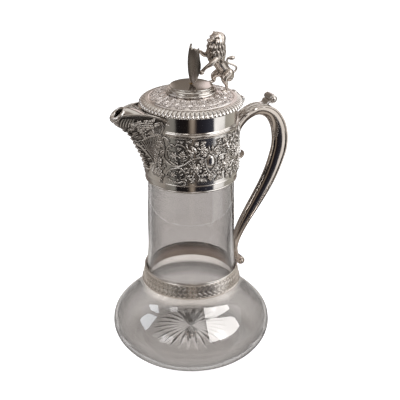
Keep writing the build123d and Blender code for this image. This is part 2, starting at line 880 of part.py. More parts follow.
lion_limbs = [
    # body, from the rump to the chest and the neck
    limb(
        (0.64, 0.0, 0.31, 0.085),
        (0.56, 0.0, 0.40, 0.105),
        (0.47, 0.0, 0.52, 0.115),
        (0.43, 0.0, 0.65, 0.150),
        (0.45, 0.0, 0.79, 0.135),
    ),
    # head and muzzle
    limb((0.50, 0.0, 0.88, 0.115), (0.44, -0.01, 0.88, 0.120), (0.36, -0.03, 0.85, 0.065)),
    # near foreleg, low on the shield
    limb(
        (0.42, -0.10, 0.60, 0.055),
        (0.30, -0.13, 0.52, 0.045),
        (0.20, -0.12, 0.46, 0.030),
        (0.15, -0.10, 0.395, 0.036),
    ),
    # far foreleg, high on the shield
    limb(
        (0.42, 0.10, 0.66, 0.055),
        (0.31, 0.13, 0.60, 0.042),
        (0.21, 0.12, 0.67, 0.030),
        (0.12, 0.10, 0.69, 0.034),
    ),
    # near hind leg, down to the cone
    limb(
        (0.64, -0.08, 0.31, 0.080),
        (0.55, -0.11, 0.23, 0.060),
        (0.585, -0.12, 0.12, 0.030),
        (0.585, -0.12, 0.04, 0.028),
        (0.535, -0.12, 0.005, 0.030),
    ),
    # far hind leg, on the edge of the dome
    limb(
        (0.58, 0.08, 0.30, 0.080),
        (0.46, 0.10, 0.24, 0.055),
        (0.46, 0.10, 0.15, 0.030),
        (0.36, 0.10, 0.125, 0.030),
    ),
    # tail
    limb(
        (0.70, 0.0, 0.29, 0.026),
        (0.79, 0.0, 0.29, 0.022),
        (0.825, 0.0, 0.36, 0.020),
        (0.74, 0.0, 0.42, 0.020),
        (0.655, 0.0, 0.46, 0.020),
        (0.66, 0.0, 0.53, 0.020),
        (0.73, 0.0, 0.525, 0.042),
    ),
]
wire_edge = dome_radius + 2 * dome_wire_radius
wire_top = dome_bottom + 2 * dome_wire_radius + 2 * solder_gap
with BuildPart() as lid_surface:
    with BuildSketch(Plane.XZ):
        with BuildLine():
            Polyline(
                (0, lid_bottom),
                (rim_radius, lid_bottom),
                (plate_edge, cone_height(plate_edge) + solder_gap),
                (wire_edge + solder_gap, cone_height(wire_edge) + solder_gap),
                (wire_edge + solder_gap, wire_top),
                (dome_radius, wire_top),
                (shelf_radius + solder_gap, dome_foot + dome_height * 0.58 + 0.8),
                (dome_radius - 1.0, dome_foot + dome_height * 0.80),
                (dome_top_radius + 1.6, dome_top - 0.2),
                (dome_top_radius, dome_top + 2 * solder_gap),
                (dome_top_radius / 2, dome_top + dome_crown * 0.75 + 2 * solder_gap),
                (0, dome_top + dome_crown + 2 * solder_gap),
                close=True,
            )
        make_face()
    revolve(axis=Axis.Z)

shield_bottom = dome_top + dome_crown + 2 * solder_gap
shield_axis_x = shield_curve_radius - shield_stand
with BuildPart() as shield:
    with BuildSketch(Plane.YZ.offset(shield_axis_x)):
        with BuildLine():
            half, high = shield_width / 2, shield_height
            left_side = Spline(
                (0, shield_bottom),
                (-half * 0.72, shield_bottom + high * 0.20),
                (-half, shield_bottom + high * 0.50),
                (-half * 0.70, shield_bottom + high * 0.90),
                tangents=[(-1, 0.55), (0.35, 1)],
            )
            top_left = ThreePointArc(
                left_side @ 1,
                (-half * 0.34, shield_bottom + high * 0.90),
                (0, shield_bottom + high),
            )
            top_right = ThreePointArc(
                top_left @ 1,
                (half * 0.34, shield_bottom + high * 0.90),
                (half * 0.70, shield_bottom + high * 0.90),
            )
            Spline(
                top_right @ 1,
                (half, shield_bottom + high * 0.50),
                (half * 0.72, shield_bottom + high * 0.20),
                (0, shield_bottom),
                tangents=[(0.35, -1), (-1, -0.55)],
            )
        make_face()
    extrude(amount=-2 * shield_curve_radius)
    with BuildSketch(Plane.XZ):
        with BuildLine():
            low, high = shield_bottom - 1, shield_bottom + shield_height + 1
            middle = (low + high) / 2
            front = shield_axis_x - shield_curve_radius
            outer = ThreePointArc((front + shield_bulge, low), (front, middle), (front + shield_bulge, high))
            back = front + shield_thickness
            step_in = Line(outer @ 1, (back + shield_bulge, high))
            inner = ThreePointArc(step_in @ 1, (back, middle), (back + shield_bulge, low))
            Line(inner @ 1, outer @ 0)
        make_face()
    revolve(axis=Axis((shield_axis_x, 0, 0), (0, 0, 1)), mode=Mode.INTERSECT)
    # A small foot takes the stud.
    with BuildSketch(Plane.XY.offset(shield_bottom)):
        Circle(stud_radius + 0.6)
    extrude(amount=shield_foot)

with BuildPart() as lion:
    for piece in lion_limbs:
        add(piece)
    add(lid_surface.part, mode=Mode.SUBTRACT)
    add(shield.part, mode=Mode.SUBTRACT)

# A stud in the shield's foot passes through the dome and the plate, and a nut under a washer holds it.
plate_underside = dome_bottom - lid_sheet
stud_bottom = plate_underside - washer_thickness - nut_thickness - stud_end
with BuildPart() as finial_stud:
    with BuildSketch(Plane.XY.offset(stud_bottom)):
        Circle(stud_radius)
    extrude(amount=shield_bottom - solder_gap - stud_bottom)
    chamfer(finial_stud.edges().group_by(Axis.Z)[0], stud_radius * 0.25)

finial_washer = ring(
    stud_radius + stud_hole_clearance,
    washer_radius,
    plate_underside - washer_thickness,
    plate_underside,
)
with BuildPart() as finial_nut:
    with BuildSketch(Plane.XY.offset(plate_underside - washer_thickness - nut_thickness)):
        RegularPolygon(nut_across_flats / 2, 6, major_radius=False)
        Circle(stud_radius + stud_hole_clearance, mode=Mode.SUBTRACT)
    extrude(amount=nut_thickness)

names = {
    "glass_body": glass_body.part,
    "collar_bedding": collar_bedding,
    "collar_sleeve": collar_sleeve.part,
    "collar_foot_wire": foot_wire,
    "frieze_band": frieze_band.part,
    "collar_mid_wire": mid_wire.part,
    "glass_rim_ledge": glass_rim_ledge,
    "spout_body": spout_body.part,
    "spout_hood": spout_hood.part,
    "neck_band": neck_band.part,
    "neck_band_bedding": band_bedding_ring.part,
    "neck_band_wire": band_wire,
    "handle": handle.part,
    "thumb_scroll": thumb_scroll.part,
    "hinge_bracket": hinge_bracket.part,
    "hinge_pin": hinge_pin.part,
    "gadroon_border": gadroon_border.part,
    "lid_plate": lid_plate.part,
    "dome_wire": dome_wire.part,
    "lid_dome": lid_dome.part,
    "lid_bezel": lid_bezel.part,
    "hinge_leaf": hinge_leaf.part,
    "lion": lion.part,
    "shield": shield.part,
    "finial_stud": finial_stud.part,
    "finial_washer": finial_washer,
    "finial_nut": finial_nut.part,
}
os.makedirs("parts", exist_ok=True)
for name, piece in names.items():
    piece.label = name
    export_step(piece, f"parts/{name}.step")
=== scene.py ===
"""A claret jug in glass and silver plate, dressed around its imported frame.

Sizes are in millimetres. Each finished mesh is turned into metres when it is handed to the frame.
The jug's axis is Z, the handle is towards +X and the spout towards -X.
"""

from __future__ import annotations

import logging
import random
from collections.abc import Callable, Iterator, Sequence
from contextlib import contextmanager
from dataclasses import dataclass
from enum import Enum
from math import copysign, cos, hypot, pi, radians, sin

import bmesh
import bpy
import numpy as np
from mathutils import Matrix, Vector
from mathutils.kdtree import KDTree

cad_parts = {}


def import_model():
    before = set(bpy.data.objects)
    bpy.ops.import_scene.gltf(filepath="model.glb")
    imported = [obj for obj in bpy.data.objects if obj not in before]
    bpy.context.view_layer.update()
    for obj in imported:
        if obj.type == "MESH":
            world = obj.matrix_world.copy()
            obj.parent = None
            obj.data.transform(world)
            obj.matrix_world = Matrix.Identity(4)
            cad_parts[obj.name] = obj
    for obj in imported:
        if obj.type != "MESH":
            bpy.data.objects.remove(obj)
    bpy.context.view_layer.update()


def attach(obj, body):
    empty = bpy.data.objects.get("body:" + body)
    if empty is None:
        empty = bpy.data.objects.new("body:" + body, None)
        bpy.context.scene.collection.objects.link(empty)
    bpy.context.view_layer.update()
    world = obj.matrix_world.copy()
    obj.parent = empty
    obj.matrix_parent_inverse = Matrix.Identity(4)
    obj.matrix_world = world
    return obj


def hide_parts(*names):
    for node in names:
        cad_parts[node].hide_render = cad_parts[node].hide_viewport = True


LOG = logging.getLogger("claret_jug")
MM = 0.001
TURN = 2.0 * pi
WELD = 0.002
Flat = tuple[float, float]
Place = tuple[float, float, float]
Tone = tuple[float, float, float]
Station = tuple[float, float, float, float]
Piece = bpy.types.Object
Socket = bpy.types.NodeSocket
Array = np.ndarray
Stops = tuple[tuple[float, Tone], ...]
Form = Callable[[Array, Array], Array]
Wrap = Callable[[Array], Array]


class Body(Enum):
    """The two bodies that the hinge joins."""

    JUG = "jug"
    LID = "lid"


class Slot(Enum):
    """The record's slots for the modelled pieces."""

    GLASS = "clear_glass"
    PLATE = "silver_plate"
    CHASED = "chased_silver"
    CAST = "cast_silver"


# ---------------------------------------------------------------- bench: modelling helpers
def clear_selection() -> None:
    """Leaves edit mode and deselects everything."""
    if bpy.context.object and bpy.context.object.mode != "OBJECT":
        bpy.ops.object.mode_set(mode="OBJECT")
    bpy.ops.object.select_all(action="DESELECT")


def pick(*pieces: Piece) -> Piece:
    """Selects some pieces and nothing else.

    Args:
        pieces: What to select; the first one becomes the active piece.

    Returns:
        The active piece.
    """
    clear_selection()
    for piece in pieces:
        piece.select_set(True)
    bpy.context.view_layer.objects.active = pieces[0]
    return pieces[0]


def add_primitive(kind: str, **settings: object) -> Piece:
    """Adds a primitive with nothing else selected.

    Args:
        kind: Blender's name for the primitive.
        settings: Its sizes and place.

    Returns:
        The primitive.
    """
    clear_selection()
    getattr(bpy.ops.mesh, f"primitive_{kind}_add")(**settings)
    return bpy.context.object


def copied(piece: Piece) -> Piece:
    """Copies a piece, with a mesh of its own."""
    copy = piece.copy()
    copy.data = piece.data.copy()
    bpy.context.collection.objects.link(copy)
    return copy


@contextmanager
def editing(piece: Piece) -> Iterator[None]:
    """Opens a piece in edit mode with all of it selected, and closes it afterwards.

    Args:
        piece: The mesh to edit.
    """
    pick(piece)
    bpy.ops.object.mode_set(mode="EDIT")
    bpy.ops.mesh.select_mode(type="VERT")
    bpy.ops.mesh.select_all(action="SELECT")
    yield
    bpy.ops.object.mode_set(mode="OBJECT")


def select_points(piece: Piece, test: Callable[[Vector], bool]) -> None:
    """Selects the points of an open mesh by their place.

    Args:
        piece: A mesh in edit mode.
        test: Says whether the point at a place is selected.
    """
    form = bmesh.from_edit_mesh(piece.data)
    for vert in form.verts:
        vert.select_set(test(vert.co))
    form.select_flush_mode()
    bmesh.update_edit_mesh(piece.data)


def weld(piece: Piece) -> None:
    """Merges the doubled points of a mesh and turns all its faces outwards."""
    with editing(piece):
        bpy.ops.mesh.remove_doubles(threshold=WELD)
        bpy.ops.mesh.normals_make_consistent(inside=False)


def face_outwards(piece: Piece) -> None:
    """Turns all faces of a closed mesh outwards."""
    with editing(piece):
        bpy.ops.mesh.normals_make_consistent(inside=False)


def apply_modifier(piece: Piece, kind: str, **settings: object) -> None:
    """Adds a modifier, sets it and applies it.

    Args:
        piece: The mesh to change.
        kind: Blender's name for the modifier type.
        settings: Values for the modifier's own properties.
    """
    pick(piece)
    modifier = piece.modifiers.new(kind.title(), kind)
    for name, value in settings.items():
        setattr(modifier, name, value)
    bpy.ops.object.modifier_apply(modifier=modifier.name)


def smooth(piece: Piece, angle: float) -> Piece:
    """Shades a piece smooth except over its sharper edges.

    Args:
        piece: The mesh to shade.
        angle: Edges sharper than this many degrees stay crisp.

    Returns:
        The same piece.
    """
    pick(piece)
    bpy.ops.object.shade_smooth_by_angle(angle=radians(angle))
    return piece


def flowing(points: Sequence[Sequence[float]], per_span: int) -> list[tuple[float, ...]]:
    """Draws a smooth line through points.

    Args:
        points: The points that the line passes through.
        per_span: How many steps it takes from one point to the next.

    Returns:
        The points of the line, from the first to the last.
    """
    knots = [np.array(point, float) for point in points]
    knots = [2 * knots[0] - knots[1], *knots, 2 * knots[-1] - knots[-2]]
    line = []
    for before, start, end, after in zip(knots, knots[1:], knots[2:], knots[3:]):
        for step in range(per_span):
            t = step / per_span
            line.append(
                0.5
                * (
                    2 * start
                    + (end - before) * t
                    + (2 * before - 5 * start + 4 * end - after) * t**2
                    + (3 * start - before - 3 * end + after) * t**3
                )
            )
    line.append(knots[-2])
    return [tuple(float(value) for value in point) for point in line]


def lathe(name: str, outline: Sequence[Flat], steps: int) -> Piece:
    """Turns an outline about the jug's axis.

    Args:
        name: What the piece is called.
        outline: Points of radius and height, from one end of the outline to the other.
        steps: How many facets go round.

    Returns:
        The turned piece.
    """
    piece = add_primitive("plane", size=1.0)
    piece.name = name
    with editing(piece):
        bpy.ops.mesh.merge(type="CENTER")
        bpy.ops.transform.translate(value=(outline[0][0], 0.0, outline[0][1]))
        for (radius, height), (next_radius, next_height) in zip(outline, outline[1:]):
            move = (next_radius - radius, 0.0, next_height - height)
            bpy.ops.mesh.extrude_region_move(TRANSFORM_OT_translate={"value": move})
        bpy.ops.mesh.select_all(action="SELECT")
        bpy.ops.mesh.spin(steps=steps, angle=TURN, center=(0.0, 0.0, 0.0), axis=(0.0, 0.0, 1.0))
    weld(piece)
    return piece


def read_points(piece: Piece, what: str = "co") -> Array:
    """Gives the places of all the points of a mesh, or their normals."""
    places = np.empty(len(piece.data.vertices) * 3)
    piece.data.vertices.foreach_get(what, places)
    return places.reshape(-1, 3)


def move_points(piece: Piece, wrap: Wrap) -> None:
    """Moves every point of a mesh at once."""
    piece.data.vertices.foreach_set("co", wrap(read_points(piece)).reshape(-1))
    piece.data.update()


def push_out(places: Array, least: Array | float) -> Array:
    """Moves places away from the jug's axis where they are too near to it."""
    push = np.maximum(least / np.maximum(np.hypot(places[:, 0], places[:, 1]), 1e-6), 1.0)
    return places * np.stack([push, push, np.ones_like(push)], axis=1)


def sheet_metal(name: str, form: Form, along: int, around: int, thickness: float = 1.0, **settings: object) -> Piece:
    """Shapes a sheet of even thickness.

    Args:
        name: What the piece is called.
        form: Gives the places of its outer side.
        along: Steps along it.
        around: Steps across it.
        thickness: How thick it is.
        settings: More of the thickening's settings.

    Returns:
        The closed sheet.
    """
    piece = skin(name, form, along, around)
    apply_modifier(piece, "SOLIDIFY", thickness=thickness, offset=-1.0, **settings)
    face_outwards(piece)
    return piece


def mark_relief(piece: Piece, relief: Array) -> Piece:
    """Writes how far each point stands out of the hollows, from 0 to 1, for the finish to read.

    Args:
        piece: The mesh to mark.
        relief: One value for each point.

    Returns:
        The same piece.
    """
    attribute = piece.data.attributes.get("relief") or piece.data.attributes.new("relief", "FLOAT", "POINT")
    attribute.data.foreach_set("value", relief.astype(np.float32))
    return piece


def skin(name: str, form: Form, along: int, around: int) -> Piece:
    """Stretches a grid over a form.

    Args:
        name: What the piece is called.
        form: Gives places from two arrays of shares, along and around, each from 0 to 1.
        along: Steps along the form.
        around: Steps around it.

    Returns:
        The piece, welded where its edges meet.
    """
    piece = add_primitive("grid", x_subdivisions=along, y_subdivisions=around, size=1.0)
    piece.name = name
    move_points(piece, lambda places: form(places[:, 0] + 0.5, places[:, 1] + 0.5))
    weld(piece)
    return piece


def tube(name: str, line: Sequence[Sequence[float]], widths: Sequence[float], sides: int) -> Piece:
    """Bends a round wire along a line.

    Args:
        name: What the piece is called.
        line: Its control points.
        widths: The wire's radius at each of them.
        sides: Resolution of the wire's section.

    Returns:
        The wire as a closed mesh.
    """
    clear_selection()
    bpy.ops.curve.primitive_nurbs_path_add(location=(0.0, 0.0, 0.0))
    piece = bpy.context.object
    piece.name = name
    curve = piece.data
    curve.splines.clear()
    spline = curve.splines.new("NURBS")
    spline.points.add(len(line) - 1)
    for point, place, width in zip(spline.points, line, widths):
        point.co = (*place, 1.0)
        point.radius = width
    spline.order_u = 3
    spline.use_endpoint_u = True
    spline.resolution_u = 3
    curve.bevel_depth = 1.0
    curve.bevel_resolution = sides
    curve.use_fill_caps = True
    bpy.ops.object.convert(target="MESH")
    return bpy.context.object


def join(name: str, pieces: Sequence[Piece]) -> Piece:
    """Makes one mesh of several.

    Args:
        name: What the result is called.
        pieces: The meshes to join.

    Returns:
        The joined piece, with its place in its mesh.
    """
    pick(*pieces)
    if len(pieces) > 1:
        bpy.ops.object.join()
    piece = bpy.context.object
    bpy.ops.object.transform_apply(location=True, rotation=True, scale=True)
    piece.name = name
    return piece


def hand_over(piece: Piece, body: Body, slot: Slot, finish: bpy.types.Material, *nodes: str) -> Piece:
    """Turns a finished mesh into metres and gives it to the frame.

    Args:
        piece: The finished mesh, in millimetres.
        body: The body that it rides on.
        slot: The record's slot for its finish; not used.
        finish: Its material.
        nodes: The CAD nodes that it stands for.

    Returns:
        The piece.
    """
    pick(piece)
    piece.data.transform(Matrix.Scale(MM, 4))
    piece.data.update()
    piece.data.materials.clear()
    piece.data.materials.append(finish)
    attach(piece, body.value)
    if nodes:
        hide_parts(*nodes)
    LOG.info("%s: %d faces on %s", piece.name, len(piece.data.polygons), body.value)
    return piece


# ---------------------------------------------------------------- finishes
class Graph:
    """A short way to wire shader nodes."""

    def __init__(self, tree: bpy.types.NodeTree) -> None:
        """Keeps the tree that the nodes go into."""
        self.tree = tree

    def node(self, kind: str, settings: dict | None = None, **inputs: object) -> bpy.types.Node:
        """Adds a node.

        Args:
            kind: Blender's name for the node type.
            settings: Values for the node's own properties.
            inputs: Values or sockets for its inputs, with underscores for spaces.

        Returns:
            The node.
        """
        made = self.tree.nodes.new(kind)
        for name, value in (settings or {}).items():
            setattr(made, name, value)
        for name, value in inputs.items():
            self.feed(made.inputs[name.replace("_", " ")], value)
        return made

    def feed(self, socket: Socket, value: object) -> None:
        """Sets a socket, or links another one to it."""
        if isinstance(value, Socket):
            self.tree.links.new(value, socket)
        else:
            socket.default_value = value

    def fill(self, kind: str, *values: object, **settings: object) -> Socket:
        """Adds a node, fills its inputs in their order and returns its first result."""
        made = self.node(kind, settings)
        for socket, value in zip(made.inputs, values):
            self.feed(socket, value)
        return next(socket for socket in made.outputs if socket.enabled)

    def maths(self, operation: str, *values: object) -> Socket:
        """Adds a Math node and returns its result."""
        return self.fill("ShaderNodeMath", *values, operation=operation)

    def spread(self, value: object, low: object, high: object, start: object, end: object) -> Socket:
        """Adds a Map Range node and returns its result."""
        return self.fill("ShaderNodeMapRange", value, low, high, start, end)

    def blend(self, share: object, low: object, high: object) -> Socket:
        """Adds a colour Mix node and returns its result."""
        made = self.node("ShaderNodeMix", {"data_type": "RGBA"}, Factor=share)
        self.feed(made.inputs[6], low)
        self.feed(made.inputs[7], high)
        return made.outputs[2]

    def place(self) -> Socket:
        """Reads the place on the piece."""
        return self.node("ShaderNodeTexCoord").outputs["Object"]

    def relief(self) -> Socket:
        """Reads how far the point stands out of the hollows."""
        return self.node("ShaderNodeAttribute", {"attribute_name": "relief"}).outputs["Fac"]


def new_material(name: str) -> tuple[bpy.types.Material, Graph, bpy.types.Node]:
    """Starts a material of the jug.

    Args:
        name: The material's name.

    Returns:
        The material, the graph for its tree and its shader.
    """
    material = bpy.data.materials.new(name)
    material.use_nodes = True
    return material, Graph(material.node_tree), material.node_tree.nodes["Principled BSDF"]


def new_group(name: str, inputs: dict[str, float | Station], outputs: dict[str, str]) -> Graph:
    """Starts a shader node group.

    Args:
        name: The group's name.
        inputs: The default of each input: a number, or a colour.
        outputs: The kind of each output.

    Returns:
        A graph for its tree, which holds an input and an output node.
    """
    tree = bpy.data.node_groups.new(name, "ShaderNodeTree")
    for label, default in inputs.items():
        kind = "Color" if isinstance(default, tuple) else "Float"
        socket = tree.interface.new_socket(label, in_out="INPUT", socket_type=f"NodeSocket{kind}")
        socket.default_value = default
    for label, kind in outputs.items():
        tree.interface.new_socket(label, in_out="OUTPUT", socket_type=f"NodeSocket{kind}")
    tree.nodes.new("NodeGroupInput")
    tree.nodes.new("NodeGroupOutput")
    return Graph(tree)


def tarnish_and_shade_group() -> bpy.types.NodeTree:
    """Builds the group that darkens hollows, as tarnish and painted shade, and lets rubbed high places shine.

    Returns:
        The group, whose outputs are Color and Roughness.
    """
    metal = {"Relief": 1.0, "Bright": (0.8, 0.8, 0.8, 1.0), "Dark": (0.1, 0.1, 0.1, 1.0)}
    surface = {"Polish": 0.15, "Grime": 0.5, "Scale": 300.0}
    graph = new_group("Tarnish_and_shade", metal | surface, {"Color": "Color", "Roughness": "Float"})
    nodes = graph.tree.nodes
    given, result = nodes["Group Input"].outputs, nodes["Group Output"].inputs
    place = graph.place()
    cloud = graph.node("ShaderNodeTexNoise", Vector=place, Scale=given["Scale"], Detail=6.0, Roughness=0.6)
    broad = graph.node("ShaderNodeTexNoise", Vector=place, Scale=45.0, Detail=3.0)
    height = graph.maths("ADD", given["Relief"], graph.maths("MULTIPLY_ADD", cloud.outputs["Fac"], 0.3, -0.15))
    shine = graph.spread(height, 0.0, 0.7, 0.0, 1.0)
    # Low places take the dark colour: tarnish and painted shade in the hollows.
    shade = graph.blend(shine, given["Dark"], given["Bright"])
    smudge = graph.spread(broad.outputs["Fac"], 0.35, 0.7, 0.0, 1.0)
    dimmed = graph.blend(graph.maths("MULTIPLY", smudge, 0.22), shade, given["Dark"])
    graph.feed(result["Color"], dimmed)
    dirt = graph.maths("MULTIPLY", graph.maths("SUBTRACT", 1.0, shine), given["Grime"])
    worn = graph.maths("MULTIPLY_ADD", smudge, 0.05, given["Polish"])
    graph.feed(result["Roughness"], graph.maths("ADD", worn, dirt))
    return graph.tree


def wear_group() -> bpy.types.NodeTree:
    """Builds the group for fine scratches and the soft waviness of hand-worked metal.

    Returns:
        The group, whose output is Normal.
    """
    amounts = {"Scratch": 0.1, "Waviness": 0.1, "Stipple": 0.0, "Ground": 1.0}
    graph = new_group("Handling wear", amounts, {"Normal": "Vector"})
    nodes = graph.tree.nodes
    given, result = nodes["Group Input"].outputs, nodes["Group Output"].inputs
    place = graph.place()
    wave = graph.node("ShaderNodeTexNoise", Vector=place, Scale=60.0, Detail=1.0)
    stretched = graph.node("ShaderNodeMapping", Vector=place)
    stretched.inputs["Scale"].default_value = (1400.0, 1400.0, 90.0)
    stretched.inputs["Rotation"].default_value = (0.3, 0.5, 0.2)
    hair = graph.node("ShaderNodeTexNoise", Vector=stretched.outputs[0], Scale=1.0, Detail=2.0)
    punch = graph.node("ShaderNodeTexVoronoi", Vector=place, Scale=1500.0)
    pits = graph.maths("MULTIPLY", punch.outputs["Distance"], graph.maths("SUBTRACT", 1.0, given["Ground"]))
    first = graph.node("ShaderNodeBump", Strength=given["Waviness"], Distance=0.002, Height=wave.outputs["Fac"])
    second = graph.node(
        "ShaderNodeBump", Strength=given["Scratch"], Distance=0.0001, Height=hair.outputs["Fac"],
        Normal=first.outputs[0],
    )
    third = graph.node(
        "ShaderNodeBump", Strength=given["Stipple"], Distance=0.0004, Height=pits, Normal=second.outputs[0]
    )
    graph.feed(result["Normal"], third.outputs[0])
    return graph.tree


@dataclass(frozen=True)
class Silver:
    """Silver plate, from a mirror polish to chased work whose hollows are darkened by tarnish and painted shade."""

    name: str
    bright: Tone = (0.8, 0.765, 0.73)
    dark: Tone = (0.1, 0.085, 0.072)
    polish: float = 0.1
    grime: float = 0.0
    scratch: float = 0.12
    waviness: float = 0.05
    stipple: float = 0.0
    chased: bool = False

    def build(self, groups: dict[str, bpy.types.NodeTree]) -> bpy.types.Material:
        """Builds the material.

        Args:
            groups: The shared node groups by name.

        Returns:
            The material.
        """
        material, graph, shader = new_material(self.name)
        shader.inputs["Metallic"].default_value = 1.0
        relief = graph.relief() if self.chased else 1.0
        stain = graph.node(
            "ShaderNodeGroup", {"node_tree": groups["tarnish_and_shade"]}, Relief=relief, Bright=(*self.bright, 1.0),
            Dark=(*self.dark, 1.0), Polish=self.polish, Grime=self.grime,
        )
        wear = graph.node(
            "ShaderNodeGroup", {"node_tree": groups["wear"]}, Scratch=self.scratch, Waviness=self.waviness,
            Stipple=self.stipple, Ground=relief,
        )
        graph.feed(shader.inputs["Base Color"], stain.outputs["Color"])
        graph.feed(shader.inputs["Roughness"], stain.outputs["Roughness"])
        graph.feed(shader.inputs["Normal"], wear.outputs["Normal"])
        return material


@dataclass(frozen=True)
class ClearGlass:
    """Old blown glass with soft ripples and a star cut clear into its base; its grey is painted shade, with painted
    light at the base and behind the neck band.
    """

    name: str = "clear_glass"
    neck_grey_shade: Tone = (0.52, 0.497, 0.482)
    base_grey_shade: Tone = (0.565, 0.545, 0.53)
    edge_painted_shade: Tone = (0.1, 0.095, 0.09)
    band_painted_light: Tone = (0.86, 0.82, 0.78)
    ripple: float = 0.03

    def build(self) -> bpy.types.Material:
        """Builds the material and returns it."""
        material, graph, shader = new_material(self.name)
        shader.inputs["Transmission Weight"].default_value = 1.0
        shader.inputs["IOR"].default_value = 1.5
        place = graph.place()
        height = graph.node("ShaderNodeSeparateXYZ", Vector=place).outputs["Z"]
        # Painted shade: a grey over the glass, painted lighter at the thick base.
        painted_tone = graph.blend(
            graph.spread(height, 0.05, 0.085, 0.0, 1.0), (*self.base_grey_shade, 1.0), (*self.neck_grey_shade, 1.0)
        )
        # Painted light: the glass in front of the neck band is lighter and warmer, lifting the dim band behind it.
        above = graph.spread(height, 0.059, 0.063, 0.0, 1.0)
        clear = graph.maths("MULTIPLY", above, graph.spread(height, 0.08, 0.075, 0.0, 1.0))
        painted_tone = graph.blend(clear, painted_tone, (*self.band_painted_light, 1.0))
        # Painted shade: the glass darkens where it is seen at a grazing angle.
        grazing = graph.node("ShaderNodeLayerWeight", Blend=0.5).outputs["Facing"]
        edge = graph.spread(grazing, 0.3, 0.86, 0.0, 1.0)
        shaded = graph.blend(edge, painted_tone, (*self.edge_painted_shade, 1.0))
        # Painted highlight: the star's rays lose the grey and turn white.
        cut = graph.relief()
        graph.feed(shader.inputs["Base Color"], graph.blend(cut, shaded, (1.0, 1.0, 1.0, 1.0)))
        graph.feed(shader.inputs["Roughness"], graph.maths("MULTIPLY", cut, 0.12))
        wave = graph.node("ShaderNodeTexNoise", Vector=place, Scale=22.0, Detail=1.0)
        bump = graph.node("ShaderNodeBump", Strength=self.ripple, Distance=0.004, Height=wave.outputs["Fac"])
        graph.feed(shader.inputs["Normal"], bump.outputs[0])
        return material


@dataclass(frozen=True)
class Plain:
    """A dull or unplated stuff that hardly shows: plaster, brass or steel."""

    name: str
    low: Tone
    high: Tone
    rough: float
    metal: float = 0.0
    grain: float = 400.0

    def build(self) -> bpy.types.Material:
        """Builds the material and returns it."""
        material, graph, shader = new_material(self.name)
        shader.inputs["Metallic"].default_value = self.metal
        place = graph.place()
        speck = graph.node("ShaderNodeTexNoise", Vector=place, Scale=self.grain, Detail=5.0)
        colour = graph.blend(speck.outputs["Fac"], (*self.low, 1.0), (*self.high, 1.0))
        bump = graph.node("ShaderNodeBump", Strength=0.2, Distance=0.0002, Height=speck.outputs["Fac"])
        graph.feed(shader.inputs["Base Color"], colour)
        rough = graph.spread(speck.outputs["Fac"], 0.0, 1.0, self.rough, self.rough + 0.2)
        graph.feed(shader.inputs["Roughness"], rough)
        graph.feed(shader.inputs["Normal"], bump.outputs[0])
        return material


class Finishes:
    """All the jug's materials."""

    def __init__(self) -> None:
        """Builds the shared groups and every material."""
        groups = {"tarnish_and_shade": tarnish_and_shade_group(), "wear": wear_group()}
        self.plate = Silver("silver_plate").build(groups)
        self.chased = Silver(
            "chased_silver", bright=(0.9, 0.86, 0.82), dark=(0.07, 0.06, 0.052), polish=0.16, grime=0.2,
            stipple=0.12, chased=True,
        ).build(groups)
        self.lid_chasing = Silver(
            "chased_lid", bright=(0.97, 0.915, 0.885), dark=(0.2, 0.17, 0.155), polish=0.2, grime=0.2,
            stipple=0.3, chased=True,
        ).build(groups)
        self.laurel = Silver(
            "laurel_silver", bright=(0.97, 0.91, 0.86), dark=(0.42, 0.37, 0.325), polish=0.2, grime=0.15,
            stipple=0.2, chased=True,
        ).build(groups)
        self.gadroon = Silver(
            "gadrooned_silver", bright=(0.84, 0.8, 0.76), dark=(0.07, 0.06, 0.052), polish=0.15, grime=0.2,
            chased=True,
        ).build(groups)
        # The handle's darker brown base colour is painted shade for the dark room it mirrors.
        self.handle = Silver(
            "handle_silver_painted_shade", bright=(0.66, 0.59, 0.53), dark=(0.1, 0.08, 0.065), polish=0.1, grime=0.3
        ).build(groups)
        self.cast = Silver(
            "cast_silver", bright=(0.7, 0.63, 0.57), dark=(0.05, 0.042, 0.036), polish=0.2, grime=0.25,
            scratch=0.2, waviness=0.1, chased=True,
        ).build(groups)
        self.shield = Silver(
            "shield_silver", bright=(0.3, 0.265, 0.235), dark=(0.05, 0.042, 0.036), polish=0.24, waviness=0.08
        ).build(groups)
        self.glass = ClearGlass().build()
        self.plaster = Plain("plaster", (0.62, 0.59, 0.54), (0.8, 0.77, 0.72), 0.75).build()
        # Painted light: the bedding behind the band gets a light, warm colour, as the lamps hardly reach it through
        # the glass.
        self.band_back_painted_light = Plain("band_back_painted_light", (0.86, 0.7, 0.61), (1.0, 0.86, 0.78), 0.22, 0.9, 260.0).build()
        self.brass = Plain("brass_fixing", (0.42, 0.27, 0.09), (0.62, 0.44, 0.18), 0.28, metal=1.0).build()
        self.steel = Plain("steel_pin", (0.38, 0.38, 0.39), (0.56, 0.56, 0.57), 0.25, metal=1.0).build()


# ---------------------------------------------------------------- ornament: punches and wraps
@dataclass(frozen=True)
class ConeWrap:
    """Lays flat work round a cone or a cylinder.

    Flat work is drawn with X round the jug, at the middle radius, Y up the slope and Z outwards.
    """

    bottom: Flat
    top: Flat

    def __call__(self, places: Array) -> Array:
        """Gives the places on the cone for flat places."""
        (low_r, low_z), (high_r, high_z) = self.bottom, self.top
        slope = hypot(high_r - low_r, high_z - low_z)
        middle = (low_r + high_r) / 2.0
        share = places[:, 1] / slope + 0.5
        out = ((high_z - low_z) / slope, (low_r - high_r) / slope)
        radius = low_r + (high_r - low_r) * share + places[:, 2] * out[0]
        height = low_z + (high_z - low_z) * share + places[:, 2] * out[1]
        angle = places[:, 0] / middle
        return np.stack([radius * np.cos(angle), radius * np.sin(angle), height], axis=1)


